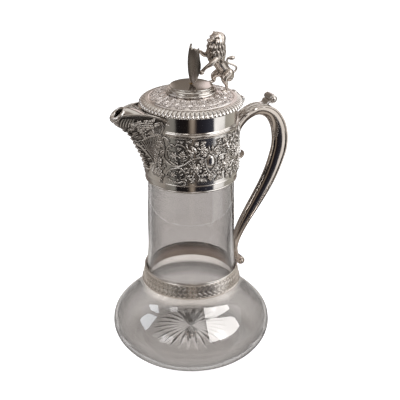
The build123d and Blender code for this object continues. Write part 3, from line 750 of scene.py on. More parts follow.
class Punches:
    """The small forms that the ornament is struck with, each one millimetre in half length."""

    def __init__(self) -> None:
        """Models the punches."""
        self.bead = self._bead()
        self.petal = self._petal()
        self.ring = self._ring()

    @staticmethod
    def _cut_flat(piece: Piece, angle: float) -> Piece:
        """Cuts a form off just below its middle and shades it smooth."""
        with editing(piece):
            bpy.ops.mesh.bisect(plane_co=(0, 0, -0.12), plane_no=(0, 0, 1), clear_inner=True, use_fill=False)
        return smooth(piece, angle)

    def _bead(self) -> Piece:
        """Models a low round bead."""
        return self._cut_flat(add_primitive("ico_sphere", subdivisions=2, radius=1.0), 80.0)

    def _petal(self) -> Piece:
        """Models a petal that starts at the origin, ends in a point and has a rib down its middle."""
        piece = add_primitive("uv_sphere", segments=10, ring_count=7, radius=1.0, rotation=(0, pi / 2, 0))
        bpy.ops.object.transform_apply(rotation=True)

        def draw_out(places: Array) -> Array:
            """Narrows one end, hollows the sides and lifts the rib."""
            along = (places[:, 0] + 1.0) / 2.0
            waist = 0.3 + 0.9 * along * (1.0 - along) ** 0.6 * 1.6
            rib = 0.45 + 0.55 * np.sin(along * pi * 0.8)
            return np.stack([along * 2.0, places[:, 1] * waist, places[:, 2] * rib], axis=1)

        move_points(piece, draw_out)
        return self._cut_flat(piece, 60.0)

    def _ring(self) -> Piece:
        """Models a thin raised ring."""
        ring = add_primitive("torus", major_radius=1.0, minor_radius=0.16, major_segments=24, minor_segments=6)
        return self._cut_flat(ring, 80.0)

    def put_away(self) -> None:
        """Removes the punches once all the ornament is struck."""
        for punch in (self.bead, self.petal, self.ring):
            bpy.data.objects.remove(punch)


class Ornament:
    """A sheet of relief work, struck flat and then laid on the jug."""

    def __init__(self, punches: Punches, seed: int, bold: float = 1.0) -> None:
        """Starts an empty sheet.

        Args:
            punches: The punches it is struck with.
            seed: Start of its small irregularities.
            bold: Makes all of its relief higher or lower.
        """
        self.punches = punches
        self.bold = bold
        self.parts: list[Piece] = []
        self.chance = random.Random(seed)

    def strike(self, punch: Piece, at: Flat, size: Place, turn: float = 0.0, lift: float = 0.0) -> None:
        """Copies a punch onto the sheet.

        Args:
            punch: The form to copy.
            at: Where, in millimetres.
            size: Half length, half width and height.
            turn: Degrees anticlockwise.
            lift: Height of its foot above the ground.
        """
        struck = copied(punch)
        struck.matrix_world = (
            Matrix.Translation((*at, lift))
            @ Matrix.Rotation(radians(turn), 4, "Z")
            @ Matrix.Diagonal((size[0], size[1], size[2] * self.bold, 1.0))
        )
        self.parts.append(struck)

    def bead(self, at: Flat, radius: float, height: float) -> None:
        """Strikes a round bead."""
        self.strike(self.punches.bead, at, (radius, radius, height))

    def petal(self, at: Flat, turn: float, length: float, width: float, height: float, lift: float = 0.0) -> None:
        """Strikes one petal, with its root at a place and its tip a length away."""
        self.strike(self.punches.petal, at, (length / 2.0, width / 2.0, height), turn, lift)

    def rosette(self, at: Flat, radius: float, petals: int, height: float) -> None:
        """Strikes a flower: a ring of petals about a bead.

        Args:
            at: Its centre.
            radius: From the centre to the petals' tips.
            petals: How many there are.
            height: Height of the petals.
        """
        for index in range(petals):
            turn = 360.0 * index / petals + self.chance.uniform(-6, 6)
            self.petal(at, turn, radius, radius * 0.62, height)
        self.bead(at, radius * 0.24, height * 1.35)

    def leaf(self, at: Flat, turn: float, length: float, lobes: int, height: float, spread: float = 62.0) -> None:
        """Strikes an acanthus leaf: lobes in pairs that grow flatter towards the tip.

        Args:
            at: Its root.
            turn: The way its midrib points, in degrees.
            length: From root to tip.
            lobes: Pairs of lobes.
            height: Height of the midrib.
            spread: Angle of the lowest pair from the midrib.
        """
        way = radians(turn)
        for index in range(lobes):
            share = index / lobes
            root = (at[0] + cos(way) * length * share * 0.8, at[1] + sin(way) * length * share * 0.8)
            reach = length * (0.52 - 0.24 * share) * self.chance.uniform(0.9, 1.1)
            for side in (-1.0, 1.0):
                opening = spread * (1.0 - 0.45 * share) * side
                self.petal(root, turn + opening, reach, reach * 0.5, height * (0.85 - 0.2 * share), 0.05)
        self.petal(at, turn, length, length * 0.26, height, 0.1)

    def stem(self, line: Sequence[Flat], thick: float, thin: float, lift: float) -> None:
        """Bends a stem along a line.

        Args:
            line: Points along the stem.
            thick: Its radius at the start.
            thin: Its radius at the end.
            lift: Height of its middle above the ground.
        """
        count = len(line) - 1
        widths = [thick + (thin - thick) * index / count for index in range(count + 1)]
        piece = tube("stem", [(*point, lift) for point in line], widths, 1)
        self.parts.append(smooth(piece, 80.0))

    @staticmethod
    def volute(centre: Flat, radius: float, start: float, turns: float, inner: float) -> list[Flat]:
        """Gives the line of a spiral.

        Args:
            centre: The eye of the spiral.
            radius: Its outer radius.
            start: The angle at which it starts, in degrees.
            turns: How many turns it makes; negative turns run clockwise.
            inner: The radius at its end, as a share of the outer one.

        Returns:
            Points along the spiral, from outside to inside.
        """
        steps = max(8, int(abs(turns) * 14))
        line = []
        for step in range(steps + 1):
            share = step / steps
            reach = radius * (1.0 + (inner - 1.0) * share**0.9)
            angle = radians(start) + TURN * turns * share
            line.append((centre[0] + reach * cos(angle), centre[1] + reach * sin(angle)))
        return line

    def lay(self, name: str, wrap: Wrap, full: float) -> Piece:
        """Joins the sheet and lays it on its ground.

        Args:
            name: What the piece is called.
            wrap: Gives the places on the jug for flat places.
            full: The height at which the metal is fully bright.

        Returns:
            The relief, with the attribute that its finish reads.
        """
        piece = join(name, self.parts)
        # Low parts of each form read dark in the finish: tarnish and painted shade at their foot.
        mark_relief(piece, np.clip(read_points(piece)[:, 2] / full, 0.0, 1.0))
        move_points(piece, wrap)
        return piece


def shade_ground_by_relief(ground: Piece, reliefs: Sequence[Piece], near: float, far: float, plain: float) -> Piece:
    """Darkens a ground close to the relief that lies on it: painted shade round the foot of the relief.

    Args:
        ground: The mesh to mark.
        reliefs: The relief on it.
        near: Distance within which it is darkest.
        far: Distance from which it has no painted shade.
        plain: How bright it is beyond that distance.

    Returns:
        The ground.
    """
    points = np.concatenate([read_points(relief) for relief in reliefs])
    tree = KDTree(len(points))
    for index, point in enumerate(points):
        tree.insert(point, index)
    tree.balance()
    distances = np.array([tree.find(point)[2] for point in read_points(ground)])
    return mark_relief(ground, np.clip((distances - near) / (far - near), 0.0, 1.0) * plain)


def shade_inside(piece: Piece) -> Piece:
    """Darkens the inner side of a shell that stands over the XZ plane, as painted shade.

    Args:
        piece: The shell.

    Returns:
        The shell.
    """
    marks = np.empty(len(piece.data.vertices))
    piece.data.attributes["relief"].data.foreach_get("value", marks)
    inner = read_points(piece)[:, 1] * read_points(piece, "normal")[:, 1] < 0.0
    return mark_relief(piece, np.where(inner, 0.0, marks))


def mark_hollows(piece: Piece, passes: int, depth: float, middle: float) -> Piece:
    """Marks the hollows of a modelled form dark, as tarnish and painted shade, and its high places bright.

    Args:
        piece: The mesh to mark.
        passes: How far round each point the form is evened out to compare with.
        depth: The height difference that counts as fully bright or dark.
        middle: How bright an even place is.

    Returns:
        The piece.
    """
    places = read_points(piece)
    ends = np.empty(len(piece.data.edges) * 2, int)
    piece.data.edges.foreach_get("vertices", ends)
    first, second = ends.reshape(-1, 2).T
    count = np.bincount(first, minlength=len(places)) + np.bincount(second, minlength=len(places))
    even = places.copy()
    for _ in range(passes):
        total = np.zeros_like(even)
        np.add.at(total, first, even[second])
        np.add.at(total, second, even[first])
        even = total / np.maximum(count, 1)[:, None]
    height = np.sum((places - even) * read_points(piece, "normal"), axis=1)
    return mark_relief(piece, np.clip(middle + height / depth, 0.0, 1.0))


# ---------------------------------------------------------------- the jug's own pieces
def circle_points(centre: Flat, radius: float, start: float, end: float, steps: int) -> list[Flat]:
    """Gives the points of an arc."""
    angles = [radians(start + (end - start) * step / steps) for step in range(steps + 1)]
    return [(centre[0] + radius * cos(angle), centre[1] + radius * sin(angle)) for angle in angles]


def wire_ring(name: str, radius: float, height: float, thick: float, steps: int = 160) -> Piece:
    """Bends a round wire into a ring about the jug's axis."""
    outline = circle_points((radius, height), thick, 0.0, 360.0, 14)
    return smooth(lathe(name, outline[:-1] + [outline[0]], steps), 60.0)


@dataclass
class GlassBody:
    """The blown glass body with a star cut under its base."""

    equator: Flat = (75.2, 23.0)
    foot: Flat = (46.0, 57.0)
    kick: float = 8.0
    wall: float = 3.0
    base: float = 6.0
    rim: float = 0.6
    neck: float = 39.4
    height: float = 198.0
    rays: int = 24
    star_radius: float = 37.0
    star_depth: float = 1.9
    heel_line: tuple[Flat, ...] = (
        (60.86, 0.89), (64.39, 2.68), (67.38, 5.28), (69.89, 8.35), (72.09, 11.66), (73.82, 15.23), (74.87, 19.05),
    )
    shoulder_line: tuple[Flat, ...] = (
        (74.31, 29.71), (71.47, 35.85), (67.22, 41.13), (62.46, 45.97), (57.47, 50.58), (52.33, 55.01),
        (47.95, 60.17), (45.6, 66.5),
    )
    neck_line: tuple[Flat, ...] = (
        (42.2, 84.0), (40.77, 95.17), (40.29, 106.42), (40.25, 117.69), (40.3, 128.95), (40.16, 140.21),
        (39.85, 151.48), (39.54, 162.74), (39.4, 174.0),
    )

    def kick_height(self, radius: Array | float, depth: float = 0.0) -> Array | float:
        """Gives the height of the hollow under the base, or of a surface above it."""
        inner = self.foot[0]
        sphere = (inner**2 + self.kick**2) / (2.0 * self.kick)
        return self.kick - sphere + np.sqrt(np.maximum((sphere + depth) ** 2 - radius**2, 0.0))

    def outside(self) -> list[Flat]:
        """Gives the outline from the foot to the rim."""
        knots = [(self.foot[1], 0.0), *self.heel_line, self.equator, *self.shoulder_line, *self.neck_line]
        return flowing(knots, 4)

    def build(self) -> Piece:
        """Turns the body and cuts the star.

        Returns:
            The glass.
        """
        outer = self.outside() + [(self.neck, 186.0), (self.neck, self.height - self.rim)]
        inner = []
        for before, here, after in zip(outer, outer[1:], outer[2:]):
            run, rise = after[0] - before[0], after[1] - before[1]
            length = hypot(run, rise)
            point = (here[0] - rise / length * self.wall, here[1] + run / length * self.wall)
            floor = self.kick_height(min(point[0], 60.0), self.base) if point[0] < 66.0 else -1.0
            if point[1] > max(floor, self.wall):
                inner.append(point)
        low_radius = inner[0][0]
        under = [0.0, 1.2, 3.0, 6.0, 9.0, 12.0, 15.0, 18.0, 21.0, 24.0, 27.0, 30.0, 33.0, 35.0, 37.0, 40.0, 43.0]
        outline = [(radius, self.kick_height(radius)) for radius in under]
        outline += [(self.foot[0] - 0.5, 0.35), (self.foot[0] + 0.4, 0.0), *outer]
        outline += circle_points((self.neck - 0.7, self.height - self.rim), self.rim, 20.0, 160.0, 6)
        outline += [(self.neck - self.wall, self.height - 1.2)] + list(reversed(inner))
        floor_radii = np.linspace(low_radius - 2.5, 0.0, 14)
        outline += [(float(r), self.kick_height(float(r), self.base)) for r in floor_radii if r < low_radius - 2.0]
        piece = lathe("glass_body_cut", outline, self.rays * 8)
        before = read_points(piece)[:, 2]
        move_points(piece, self._cut_star)
        # The raised rays are marked for the glass's painted highlight.
        mark_relief(piece, np.clip((read_points(piece)[:, 2] - before) / 0.5, 0.0, 1.0))
        return smooth(piece, 24.0)

    def _cut_star(self, places: Array) -> Array:
        """Raises the underside along the rays of the star."""
        radius = np.hypot(places[:, 0], places[:, 1])
        touched = (radius < self.star_radius) & (np.abs(places[:, 2] - self.kick_height(radius)) < 0.05)
        pitch = TURN / self.rays
        phase = np.abs((np.arctan2(places[:, 1], places[:, 0]) / pitch + 0.5) % 1.0 - 0.5) * 2.0
        width = np.clip((self.star_radius - radius) / (self.star_radius * 0.55), 0.0, 1.0)
        cut = np.clip(width - phase, 0.0, 1.0) * self.star_depth * np.clip(radius / 9.0, 0.25, 1.0)
        return places + np.where(touched, cut, 0.0)[:, None] * np.array([0.0, 0.0, 1.0])


@dataclass
class Collar:
    """The plated collar with its wires, its pouring window and the frieze."""

    radius: float = 41.4
    sheet: float = 0.8
    bottom: float = 175.3
    top: float = 243.5
    frieze: Flat = (180.0, 226.0)
    frieze_radius: float = 42.35
    foot_wire_size: Place = (41.05, 174.35, 0.9)
    mid_wire: float = 228.0
    window_centre: Place = (-41.0, 0.0, 219.0)
    window_size: Place = (12.0, 32.0, 36.0)
    window_foot: float = 14.0

    def sleeve(self) -> Piece:
        """Turns the sleeve and cuts its window."""
        inner = self.radius - self.sheet
        outline = [
            (inner, self.bottom), (self.radius - 0.2, self.bottom), (self.radius, self.bottom + 0.2),
            (self.radius, self.bottom + 20.0), (self.radius, self.top - 20.0), (self.radius, self.top - 0.25),
            (self.radius - 0.25, self.top), (inner, self.top), (inner, self.bottom),
        ]
        piece = lathe("collar_sleeve_turned", outline, 180)
        cutter = add_primitive("cube", size=1.0, location=self.window_centre)
        with editing(cutter):
            bpy.ops.transform.resize(value=self.window_size)
            select_points(cutter, lambda place: place.z < 0.0)
            bpy.ops.transform.resize(value=(1.0, self.window_foot / self.window_size[1], 1.0))
            bpy.ops.mesh.select_all(action="SELECT")
        apply_modifier(cutter, "BEVEL", width=3.0, segments=4, limit_method="ANGLE", angle_limit=0.9)
        apply_modifier(piece, "BOOLEAN", object=cutter, operation="DIFFERENCE", solver="EXACT")
        bpy.data.objects.remove(cutter)
        return smooth(piece, 30.0)

    def foot_wire(self) -> Piece:
        """Bends the bright wire under the frieze."""
        return wire_ring("collar_foot_wire_bent", *self.foot_wire_size)

    def middle_wire(self) -> Piece:
        """Bends the moulded wire over the frieze and opens it at the spout."""
        low = self.mid_wire
        outline = [
            (41.45, low - 1.5), (42.0, low - 1.45), (42.2, low - 1.1), (41.95, low - 0.8), (42.35, low - 0.6),
            (42.6, low), (42.35, low + 0.6), (41.95, low + 0.8), (42.2, low + 1.1), (42.0, low + 1.45),
            (41.45, low + 1.5), (41.45, low - 1.5),
        ]
        piece = lathe("collar_mid_wire_bent", outline, 180)
        with editing(piece):
            select_points(piece, lambda place: place.x < -35.6)
            bpy.ops.mesh.delete(type="VERT")
        return smooth(piece, 40.0)

    def ground(self) -> Piece:
        """Turns the frieze's ground."""
        low, high = self.frieze
        inner = self.radius + 0.05
        outline = [
            (inner, low), (self.frieze_radius - 0.1, low), (self.frieze_radius + 0.25, low + 0.35),
            (self.frieze_radius + 0.1, low + 0.9),
            *((self.frieze_radius - 0.1, float(z)) for z in np.linspace(low + 1.2, high - 1.0, 56)),
            (self.frieze_radius + 0.15, high - 0.7),
            (self.frieze_radius + 0.1, high - 0.2), (inner, high), (inner, low),
        ]
        return smooth(lathe("frieze_ground", outline, 360), 40.0)


@dataclass
class Spout:
    """The beak-shaped spout, its hood and its rolled lip."""

    mount: float = 41.45
    bottom: float = 184.0
    rise: float = 59.5
    reach: float = 33.2
    wall: float = 1.2
    levels: tuple[Station, ...] = (
        (0.0, 4.0, 0.03, 1.0), (0.1, 10.5, 0.07, 1.6), (0.2, 15.5, 0.13, 2.0), (0.32, 19.0, 0.215, 2.4),
        (0.5, 22.7, 0.375, 2.8), (0.66, 26.0, 0.53, 3.2), (0.75, 30.5, 0.735, 3.8), (0.83, 33.5, 0.925, 4.3),
        (0.92, 35.2, 1.0, 4.7), (1.05, 35.5, 0.96, 4.7),
    )
    rim_line: tuple[Flat, ...] = (
        (-30.75, 236.4), (-35.92, 239.29), (-41.45, 241.43), (-47.21, 242.83), (-53.11, 243.4), (-59.03, 243.13),
        (-64.91, 242.4), (-70.7, 241.12), (-76.15, 238.8),
    )
    edge_radius: float = 0.95
    edge_curl: tuple[Place, ...] = (
        (0.8, 0.0, 0.6), (1.9, 0.3, 1.8), (1.4, 0.6, 3.3), (-0.3, 0.8, 3.6), (-1.2, 0.9, 2.5),
    )
    hood_line: tuple[Flat, ...] = (
        (-34.95, 0.0), (-41.45, 0.02), (-48.45, 0.18), (-54.0, 0.62), (-60.0, 1.06), (-65.2, 1.12),
    )
    hood_camber: float = 4.4
    web_height: float = 243.2
    lid_rim: float = 46.45
    lip_back: float = -64.2
    lip_size: Flat = (9.4, 5.9)
    lip_heights: Flat = (247.4, 8.9)
    keel: float = 0.16

    def __post_init__(self) -> None:
        """Draws the levels out into smooth tables."""
        smooth_levels = np.array(flowing(self.levels, 8))
        self.table = smooth_levels[np.argsort(smooth_levels[:, 0])]
        line = np.array(flowing(self.rim_line, 6))
        self.rim = line[np.argsort(line[:, 0])]

    def rim_height(self, x: Array) -> Array:
        """Gives the height of the spout's edge."""
        return np.interp(x, self.rim[:, 0], self.rim[:, 1])

    def side(self, share: Array, across: Array, out: Array | float = 0.0) -> Array:
        """Gives places on the spout's wall.

        Args:
            share: Height as a share of the spout's rise.
            across: From -1, the near edge at the collar, over 0, the keel, to 1, the far edge.
            out: Distance outside the wall.

        Returns:
            The places.
        """
        angle, reach, nose = (np.interp(share, self.table[:, 0], self.table[:, column]) for column in (1, 2, 3))
        turned = np.radians(angle) + out / self.mount
        edge_x, edge_y = -self.mount * np.cos(turned), self.mount * np.sin(turned)
        nose = np.maximum(nose + out / 2.0, 0.6)
        tip_x = -self.mount - self.reach * reach - out
        amount, sign = np.abs(across), np.sign(across)
        straight = np.clip((amount - self.keel) / (1.0 - self.keel), 0.0, 1.0)
        round_part = np.clip(amount / self.keel, 0.0, 1.0) * pi / 2.0
        bow = np.sin(straight * pi) * 0.5
        x = tip_x + nose - nose * np.cos(round_part) + (edge_x - tip_x - nose) * straight
        y = nose * np.sin(round_part) + (edge_y - nose) * straight + bow
        return np.stack([x, y * sign, self.bottom + self.rise * share], axis=-1)

    def top_share(self, across: Array) -> Array:
        """Finds how high the wall reaches before it meets the spout's edge."""
        low, high = np.full_like(across, 0.5), np.full_like(across, 1.05)
        for _ in range(24):
            middle = (low + high) / 2.0
            place = self.side(middle, across)
            under = place[..., 2] < self.rim_height(place[..., 0])
            low, high = np.where(under, middle, low), np.where(under, high, middle)
        return low

    def shell(self) -> Piece:
        """Shapes the wall."""

        def wall(along: Array, around: Array) -> Array:
            """Gives the outer wall's places."""
            across = (around - 0.5) * 2.0
            return self.side(self.top_share(across) * along, across)

        return self._trim(sheet_metal("spout_shell", wall, 56, 72, self.wall, use_even_offset=True))

    def _trim(self, piece: Piece) -> Piece:
        """Keeps a piece of the spout outside the collar."""
        move_points(piece, lambda places: push_out(places, self.mount))
        return smooth(piece, 45.0)

    def edge_line(self, out: float, lift: float) -> list[Place]:
        """Gives the line of the spout's edge, round the lip from one side to the other."""
        across = np.linspace(-1.0, 1.0, 61)
        across = np.sign(across) * np.abs(across) ** 1.3
        places = self.side(self.top_share(across), across, out)
        return [(float(x), float(y), float(z) + lift) for x, y, z in places]

    def edge_wire(self) -> Piece:
        """Bends the bright wire along the spout's edge, with a curl at each end."""
        line = self.edge_line(0.7, 0.8)
        near, far = (
            [(x + ahead, y + sign * aside, z - down) for ahead, aside, down in self.edge_curl]
            for sign, (x, y, z) in ((-1.0, line[0]), (1.0, line[-1]))
        )
        full = [*reversed(near), *line, *far]
        return smooth(tube("spout_edge", full, [self.edge_radius] * len(full), 3), 60.0)

    def lip(self) -> Piece:
        """Rolls the thick lip round the mouth, from the low front edge up to the end of the hood."""
        ring, widths = [], []
        (reach, half), (top, drop) = self.lip_size, self.lip_heights
        for step in range(33):
            angle = TURN * step / 32.0
            front = 0.5 - 0.5 * cos(angle)
            side = copysign(abs(sin(angle)) ** 0.85, sin(angle))
            ring.append((self.lip_back - reach * front**0.9, half * side, top - drop * front))
            widths.append(1.2 + 1.5 * front**1.4)
        return smooth(tube("spout_lip", ring, widths, 4), 60.0)

    def hood(self) -> Piece:
        """Shapes the arched hood over the spout."""
        stations = np.array(flowing(self.hood_line, 6))
        stations = stations[np.argsort(stations[:, 0])]
        low_x, high_x = float(stations[0, 0]), float(stations[-1, 0])

        def arch(along: Array, around: Array) -> Array:
            """Gives the hood's upper side."""
            x = high_x + (low_x - high_x) * along
            camber = np.interp(x, stations[:, 0], stations[:, 1]) * self.hood_camber
            share = (around - 0.5) * 2.0
            half = self._half_width(x)
            z = self.rim_height(x) + 0.1 + camber * (1.0 - share**2)
            return np.stack([x, half * share, z], axis=-1)

        return self._trim(sheet_metal("hood_sheet", arch, 40, 32))

    def _half_width(self, x: Array | float) -> Array | float:
        """Gives half the spout's width near its edge."""
        _, angle, reach, nose = self.levels[-2]
        edge_x = -self.mount * cos(radians(angle))
        edge_y = self.mount * sin(radians(angle))
        nose_x = -self.mount - self.reach * reach + nose
        return edge_y + (nose - edge_y) * (x - edge_x) / (nose_x - edge_x)

    def web(self) -> Piece:
        """Shapes the flat web that closes the hood to the collar under the lid's edge."""
        half = self._half_width(-self.lid_rim) - 1.0

        def sheet(along: Array, around: Array) -> Array:
            """Gives the web's upper side."""
            radius = self.mount + (self.lid_rim + 0.35 - self.mount) * along
            y = (around - 0.5) * 2.0 * half
            return np.stack([-np.sqrt(radius**2 - y**2), y, np.full_like(y, self.web_height)], axis=-1)

        piece = sheet_metal("hood_web_sheet", sheet, 4, 24)
        over = read_points(piece)[:, 2].max() - self.web_height
        move_points(piece, lambda places: places - np.array([0.0, 0.0, over]))
        return smooth(piece, 40.0)


@dataclass
class NeckBand:
    """The engraved band at the foot of the neck, with its bright upper wire."""

    seat: tuple[Flat, Flat] = ((45.6, 66.5), (42.2, 84.0))
    bottom: float = 68.4
    top: float = 82.4
    wire_height: float = 83.2
    bedding: float = 0.5
    thickness: float = 0.8

    def inner(self, height: float) -> float:
        """Gives the radius of the band's inner side at a height."""
        (low_r, low_z), (high_r, high_z) = self.seat
        return low_r + (high_r - low_r) * (height - low_z) / (high_z - low_z) + self.bedding

    def ground(self) -> Piece:
        """Turns the band with a small moulding along its lower edge."""
        low, high, thick = self.bottom, self.top, self.thickness - 0.15
        outline = [
            (self.inner(low), low), (self.inner(low) + thick, low), (self.inner(low) + thick + 0.35, low + 0.5),
            (self.inner(low) + thick + 0.3, low + 1.2),
            *((self.inner(float(z)) + thick, float(z)) for z in np.linspace(low + 1.5, high - 0.9, 18)),
            (self.inner(high) + thick + 0.3, high - 0.5),
            (self.inner(high) + thick, high), (self.inner(high), high), (self.inner(low), low),
        ]
        return smooth(lathe("band_ground", outline, 420), 35.0)

    def wire(self) -> Piece:
        """Bends the upper wire."""
        return wire_ring("neck_band_wire_bent", self.inner(self.wire_height) + 0.5, self.wire_height, 0.75)


@dataclass
class Lid:
    """The hinged lid: gadrooned border, chased cone and moulded dome."""

    rim: float = 46.45
    bottom: float = 243.6
    inner: float = 38.6
    border_top: float = 248.9
    throat: float = 39.0
    wire_size: Place = (21.9, 255.05, 0.9)
    dome_radius: float = 21.0
    dome_bottom: float = 254.1
    sheet: float = 1.0
    lobes: int = 68
    lobe_depth: float = 1.25
    bezel: tuple[float, float, float] = (40.2, 39.3, 239.2)

    def border(self) -> Piece:
        """Turns the border and presses its gadroons."""
        crown = flowing([
            (self.rim, self.bottom + 1.2), (46.1, 245.6), (45.2, 246.7), (43.75, 247.63), (41.6, 248.45),
            (self.inner + 0.6, 248.85),
        ], 4)
        outline = [
            (self.throat, self.bottom), (self.rim - 1.2, self.bottom), (self.rim - 0.35, self.bottom + 0.35), *crown,
            (self.inner, self.border_top), (self.inner, self.border_top - self.sheet), (self.throat, self.bottom),
        ]
        piece = lathe("gadroon_border_pressed", outline, self.lobes * 10)
        move_points(piece, self._press)
        # The sunk gaps between gadroons are marked low, so the finish darkens them as tarnish and painted shade.
        mark_relief(piece, self._lobe_height(read_points(piece)))
        return smooth(piece, 40.0)

    def _lobe_height(self, places: Array) -> Array:
        """Gives how high each place stands between two gadroons, from 0 to 1."""
        radius = np.hypot(places[:, 0], places[:, 1])
        phase = np.arctan2(places[:, 1], places[:, 0]) * self.lobes / TURN
        across = np.abs(phase % 1.0 - 0.5) * 2.0
        lobe = np.sqrt(np.clip(1.0 - across**2, 0.0, 1.0))
        share = np.clip((self.rim - radius) / (self.rim - 39.9), 0.0, 1.0)
        zone = np.clip((share + 0.12) * 9.0, 0.0, 1.0) * np.clip((0.96 - share) * 4.0, 0.0, 1.0)
        upper = places[:, 2] > self.bottom + 0.7
        return np.where(upper, lobe * zone + (1.0 - zone), 1.0)

    def _press(self, places: Array) -> Array:
        """Sinks the places between the gadroons."""
        radius = np.hypot(places[:, 0], places[:, 1])
        sink = (1.0 - self._lobe_height(places)) * self.lobe_depth
        steep = np.clip((radius - 42.0) / 4.4, 0.0, 1.0)
        shrink = 1.0 - sink * steep * 0.9 / radius
        lowered = places[:, 2] - sink * (1.0 - 0.55 * steep)
        return np.stack([places[:, 0] * shrink, places[:, 1] * shrink, lowered], axis=1)

    def cone_height(self, radius: float) -> float:
        """Gives the height of the chased cone at a radius."""
        share = (self.inner - radius) / (self.inner - self.dome_radius)
        return self.border_top + (self.dome_bottom - self.border_top) * share

    def cone(self) -> Piece:
        """Turns the cone's sheet."""
        edge = self.inner - 0.05
        outline = [
            (1.6, self.dome_bottom - self.sheet), (self.dome_radius, self.dome_bottom - self.sheet),
            (edge, self.cone_height(edge) - self.sheet), (edge, self.cone_height(edge)),
            (edge - 0.6, self.cone_height(edge) + 0.35), (edge - 1.3, self.cone_height(edge) + 0.1),
            *((float(r), self.cone_height(float(r))) for r in np.linspace(edge - 1.6, 23.4, 28)),
            (self.dome_radius, self.dome_bottom), (1.6, self.dome_bottom), (1.6, self.dome_bottom - self.sheet),
        ]
        return smooth(lathe("lid_cone_ground", outline, 360), 35.0)

    def dome(self) -> Piece:
        """Turns the dome with its mouldings."""
        outline = [
            (19.9, 254.15), (20.9, 254.15), (20.9, 255.9), (20.2, 256.25), (20.05, 256.6), (20.45, 257.0),
            (20.65, 257.5), (20.5, 258.0), (19.9, 258.35), (19.3, 258.5), (18.9, 258.8), (18.95, 259.1),
            (19.0, 259.35), (18.8, 259.75), (18.3, 259.95), (17.5, 260.02), (16.9, 260.12), (12.0, 260.42),
            (6.0, 260.62), (1.6, 260.7), (1.6, 259.7), (12.0, 259.4), (17.0, 259.0), (18.0, 258.0), (19.0, 256.4),
            (19.9, 254.15),
        ]
        return smooth(lathe("lid_dome_turned", outline, 160), 40.0)

    def wire(self) -> Piece:
        """Bends the wire round the dome's foot."""
        return wire_ring("dome_wire_bent", *self.wire_size, 120)

    def locating_ring(self) -> Piece:
        """Turns the bezel that drops into the collar."""
        outer, inner, low = self.bezel
        outline = [
            (inner, low), (outer - 0.3, low), (outer, low + 0.5), (outer, self.bottom - 0.05),
            (inner, self.bottom - 0.05), (inner, low),
        ]
        return smooth(lathe("lid_bezel_turned", outline, 120), 40.0)


def strap(name: str, line: Sequence[Station], per_span: int) -> Piece:
    """Bends a flat strap along a line in the plane of the handle.

    Args:
        name: What the piece is called.
        line: Points of X, Z, width and thickness.
        per_span: Steps from one point to the next.

    Returns:
        The closed strap.
    """
    square = 0.55
    path = np.array(flowing(line, per_span))
    run = np.gradient(path[:, :2], axis=0)
    run /= np.linalg.norm(run, axis=1, keepdims=True)
    sizes = np.concatenate([[0.02], np.ones(len(path)), [0.02]])
    path, run = np.concatenate([path[:1], path, path[-1:]]), np.concatenate([run[:1], run, run[-1:]])
    count = len(path)

    def form(along: Array, around: Array) -> Array:
        """Gives the strap's places."""
        row = np.rint(along * (count - 1)).astype(int)
        angle = around * TURN
        across = np.sign(np.cos(angle)) * np.abs(np.cos(angle)) ** square * path[row, 2] / 2.0 * sizes[row]
        out = np.sign(np.sin(angle)) * np.abs(np.sin(angle)) ** square * path[row, 3] / 2.0 * sizes[row]
        x = path[row, 0] - run[row, 1] * out
        z = path[row, 1] + run[row, 0] * out
        return np.stack([x, across, z], axis=-1)

    piece = skin(name, form, count - 1, 28)
    with editing(piece):
        bpy.ops.mesh.remove_doubles(threshold=0.02)
        bpy.ops.mesh.select_all(action="DESELECT")
        bpy.ops.mesh.select_non_manifold()
        bpy.ops.mesh.edge_face_add()
        bpy.ops.mesh.select_all(action="SELECT")
        bpy.ops.mesh.normals_make_consistent(inside=False)
    return smooth(piece, 50.0)


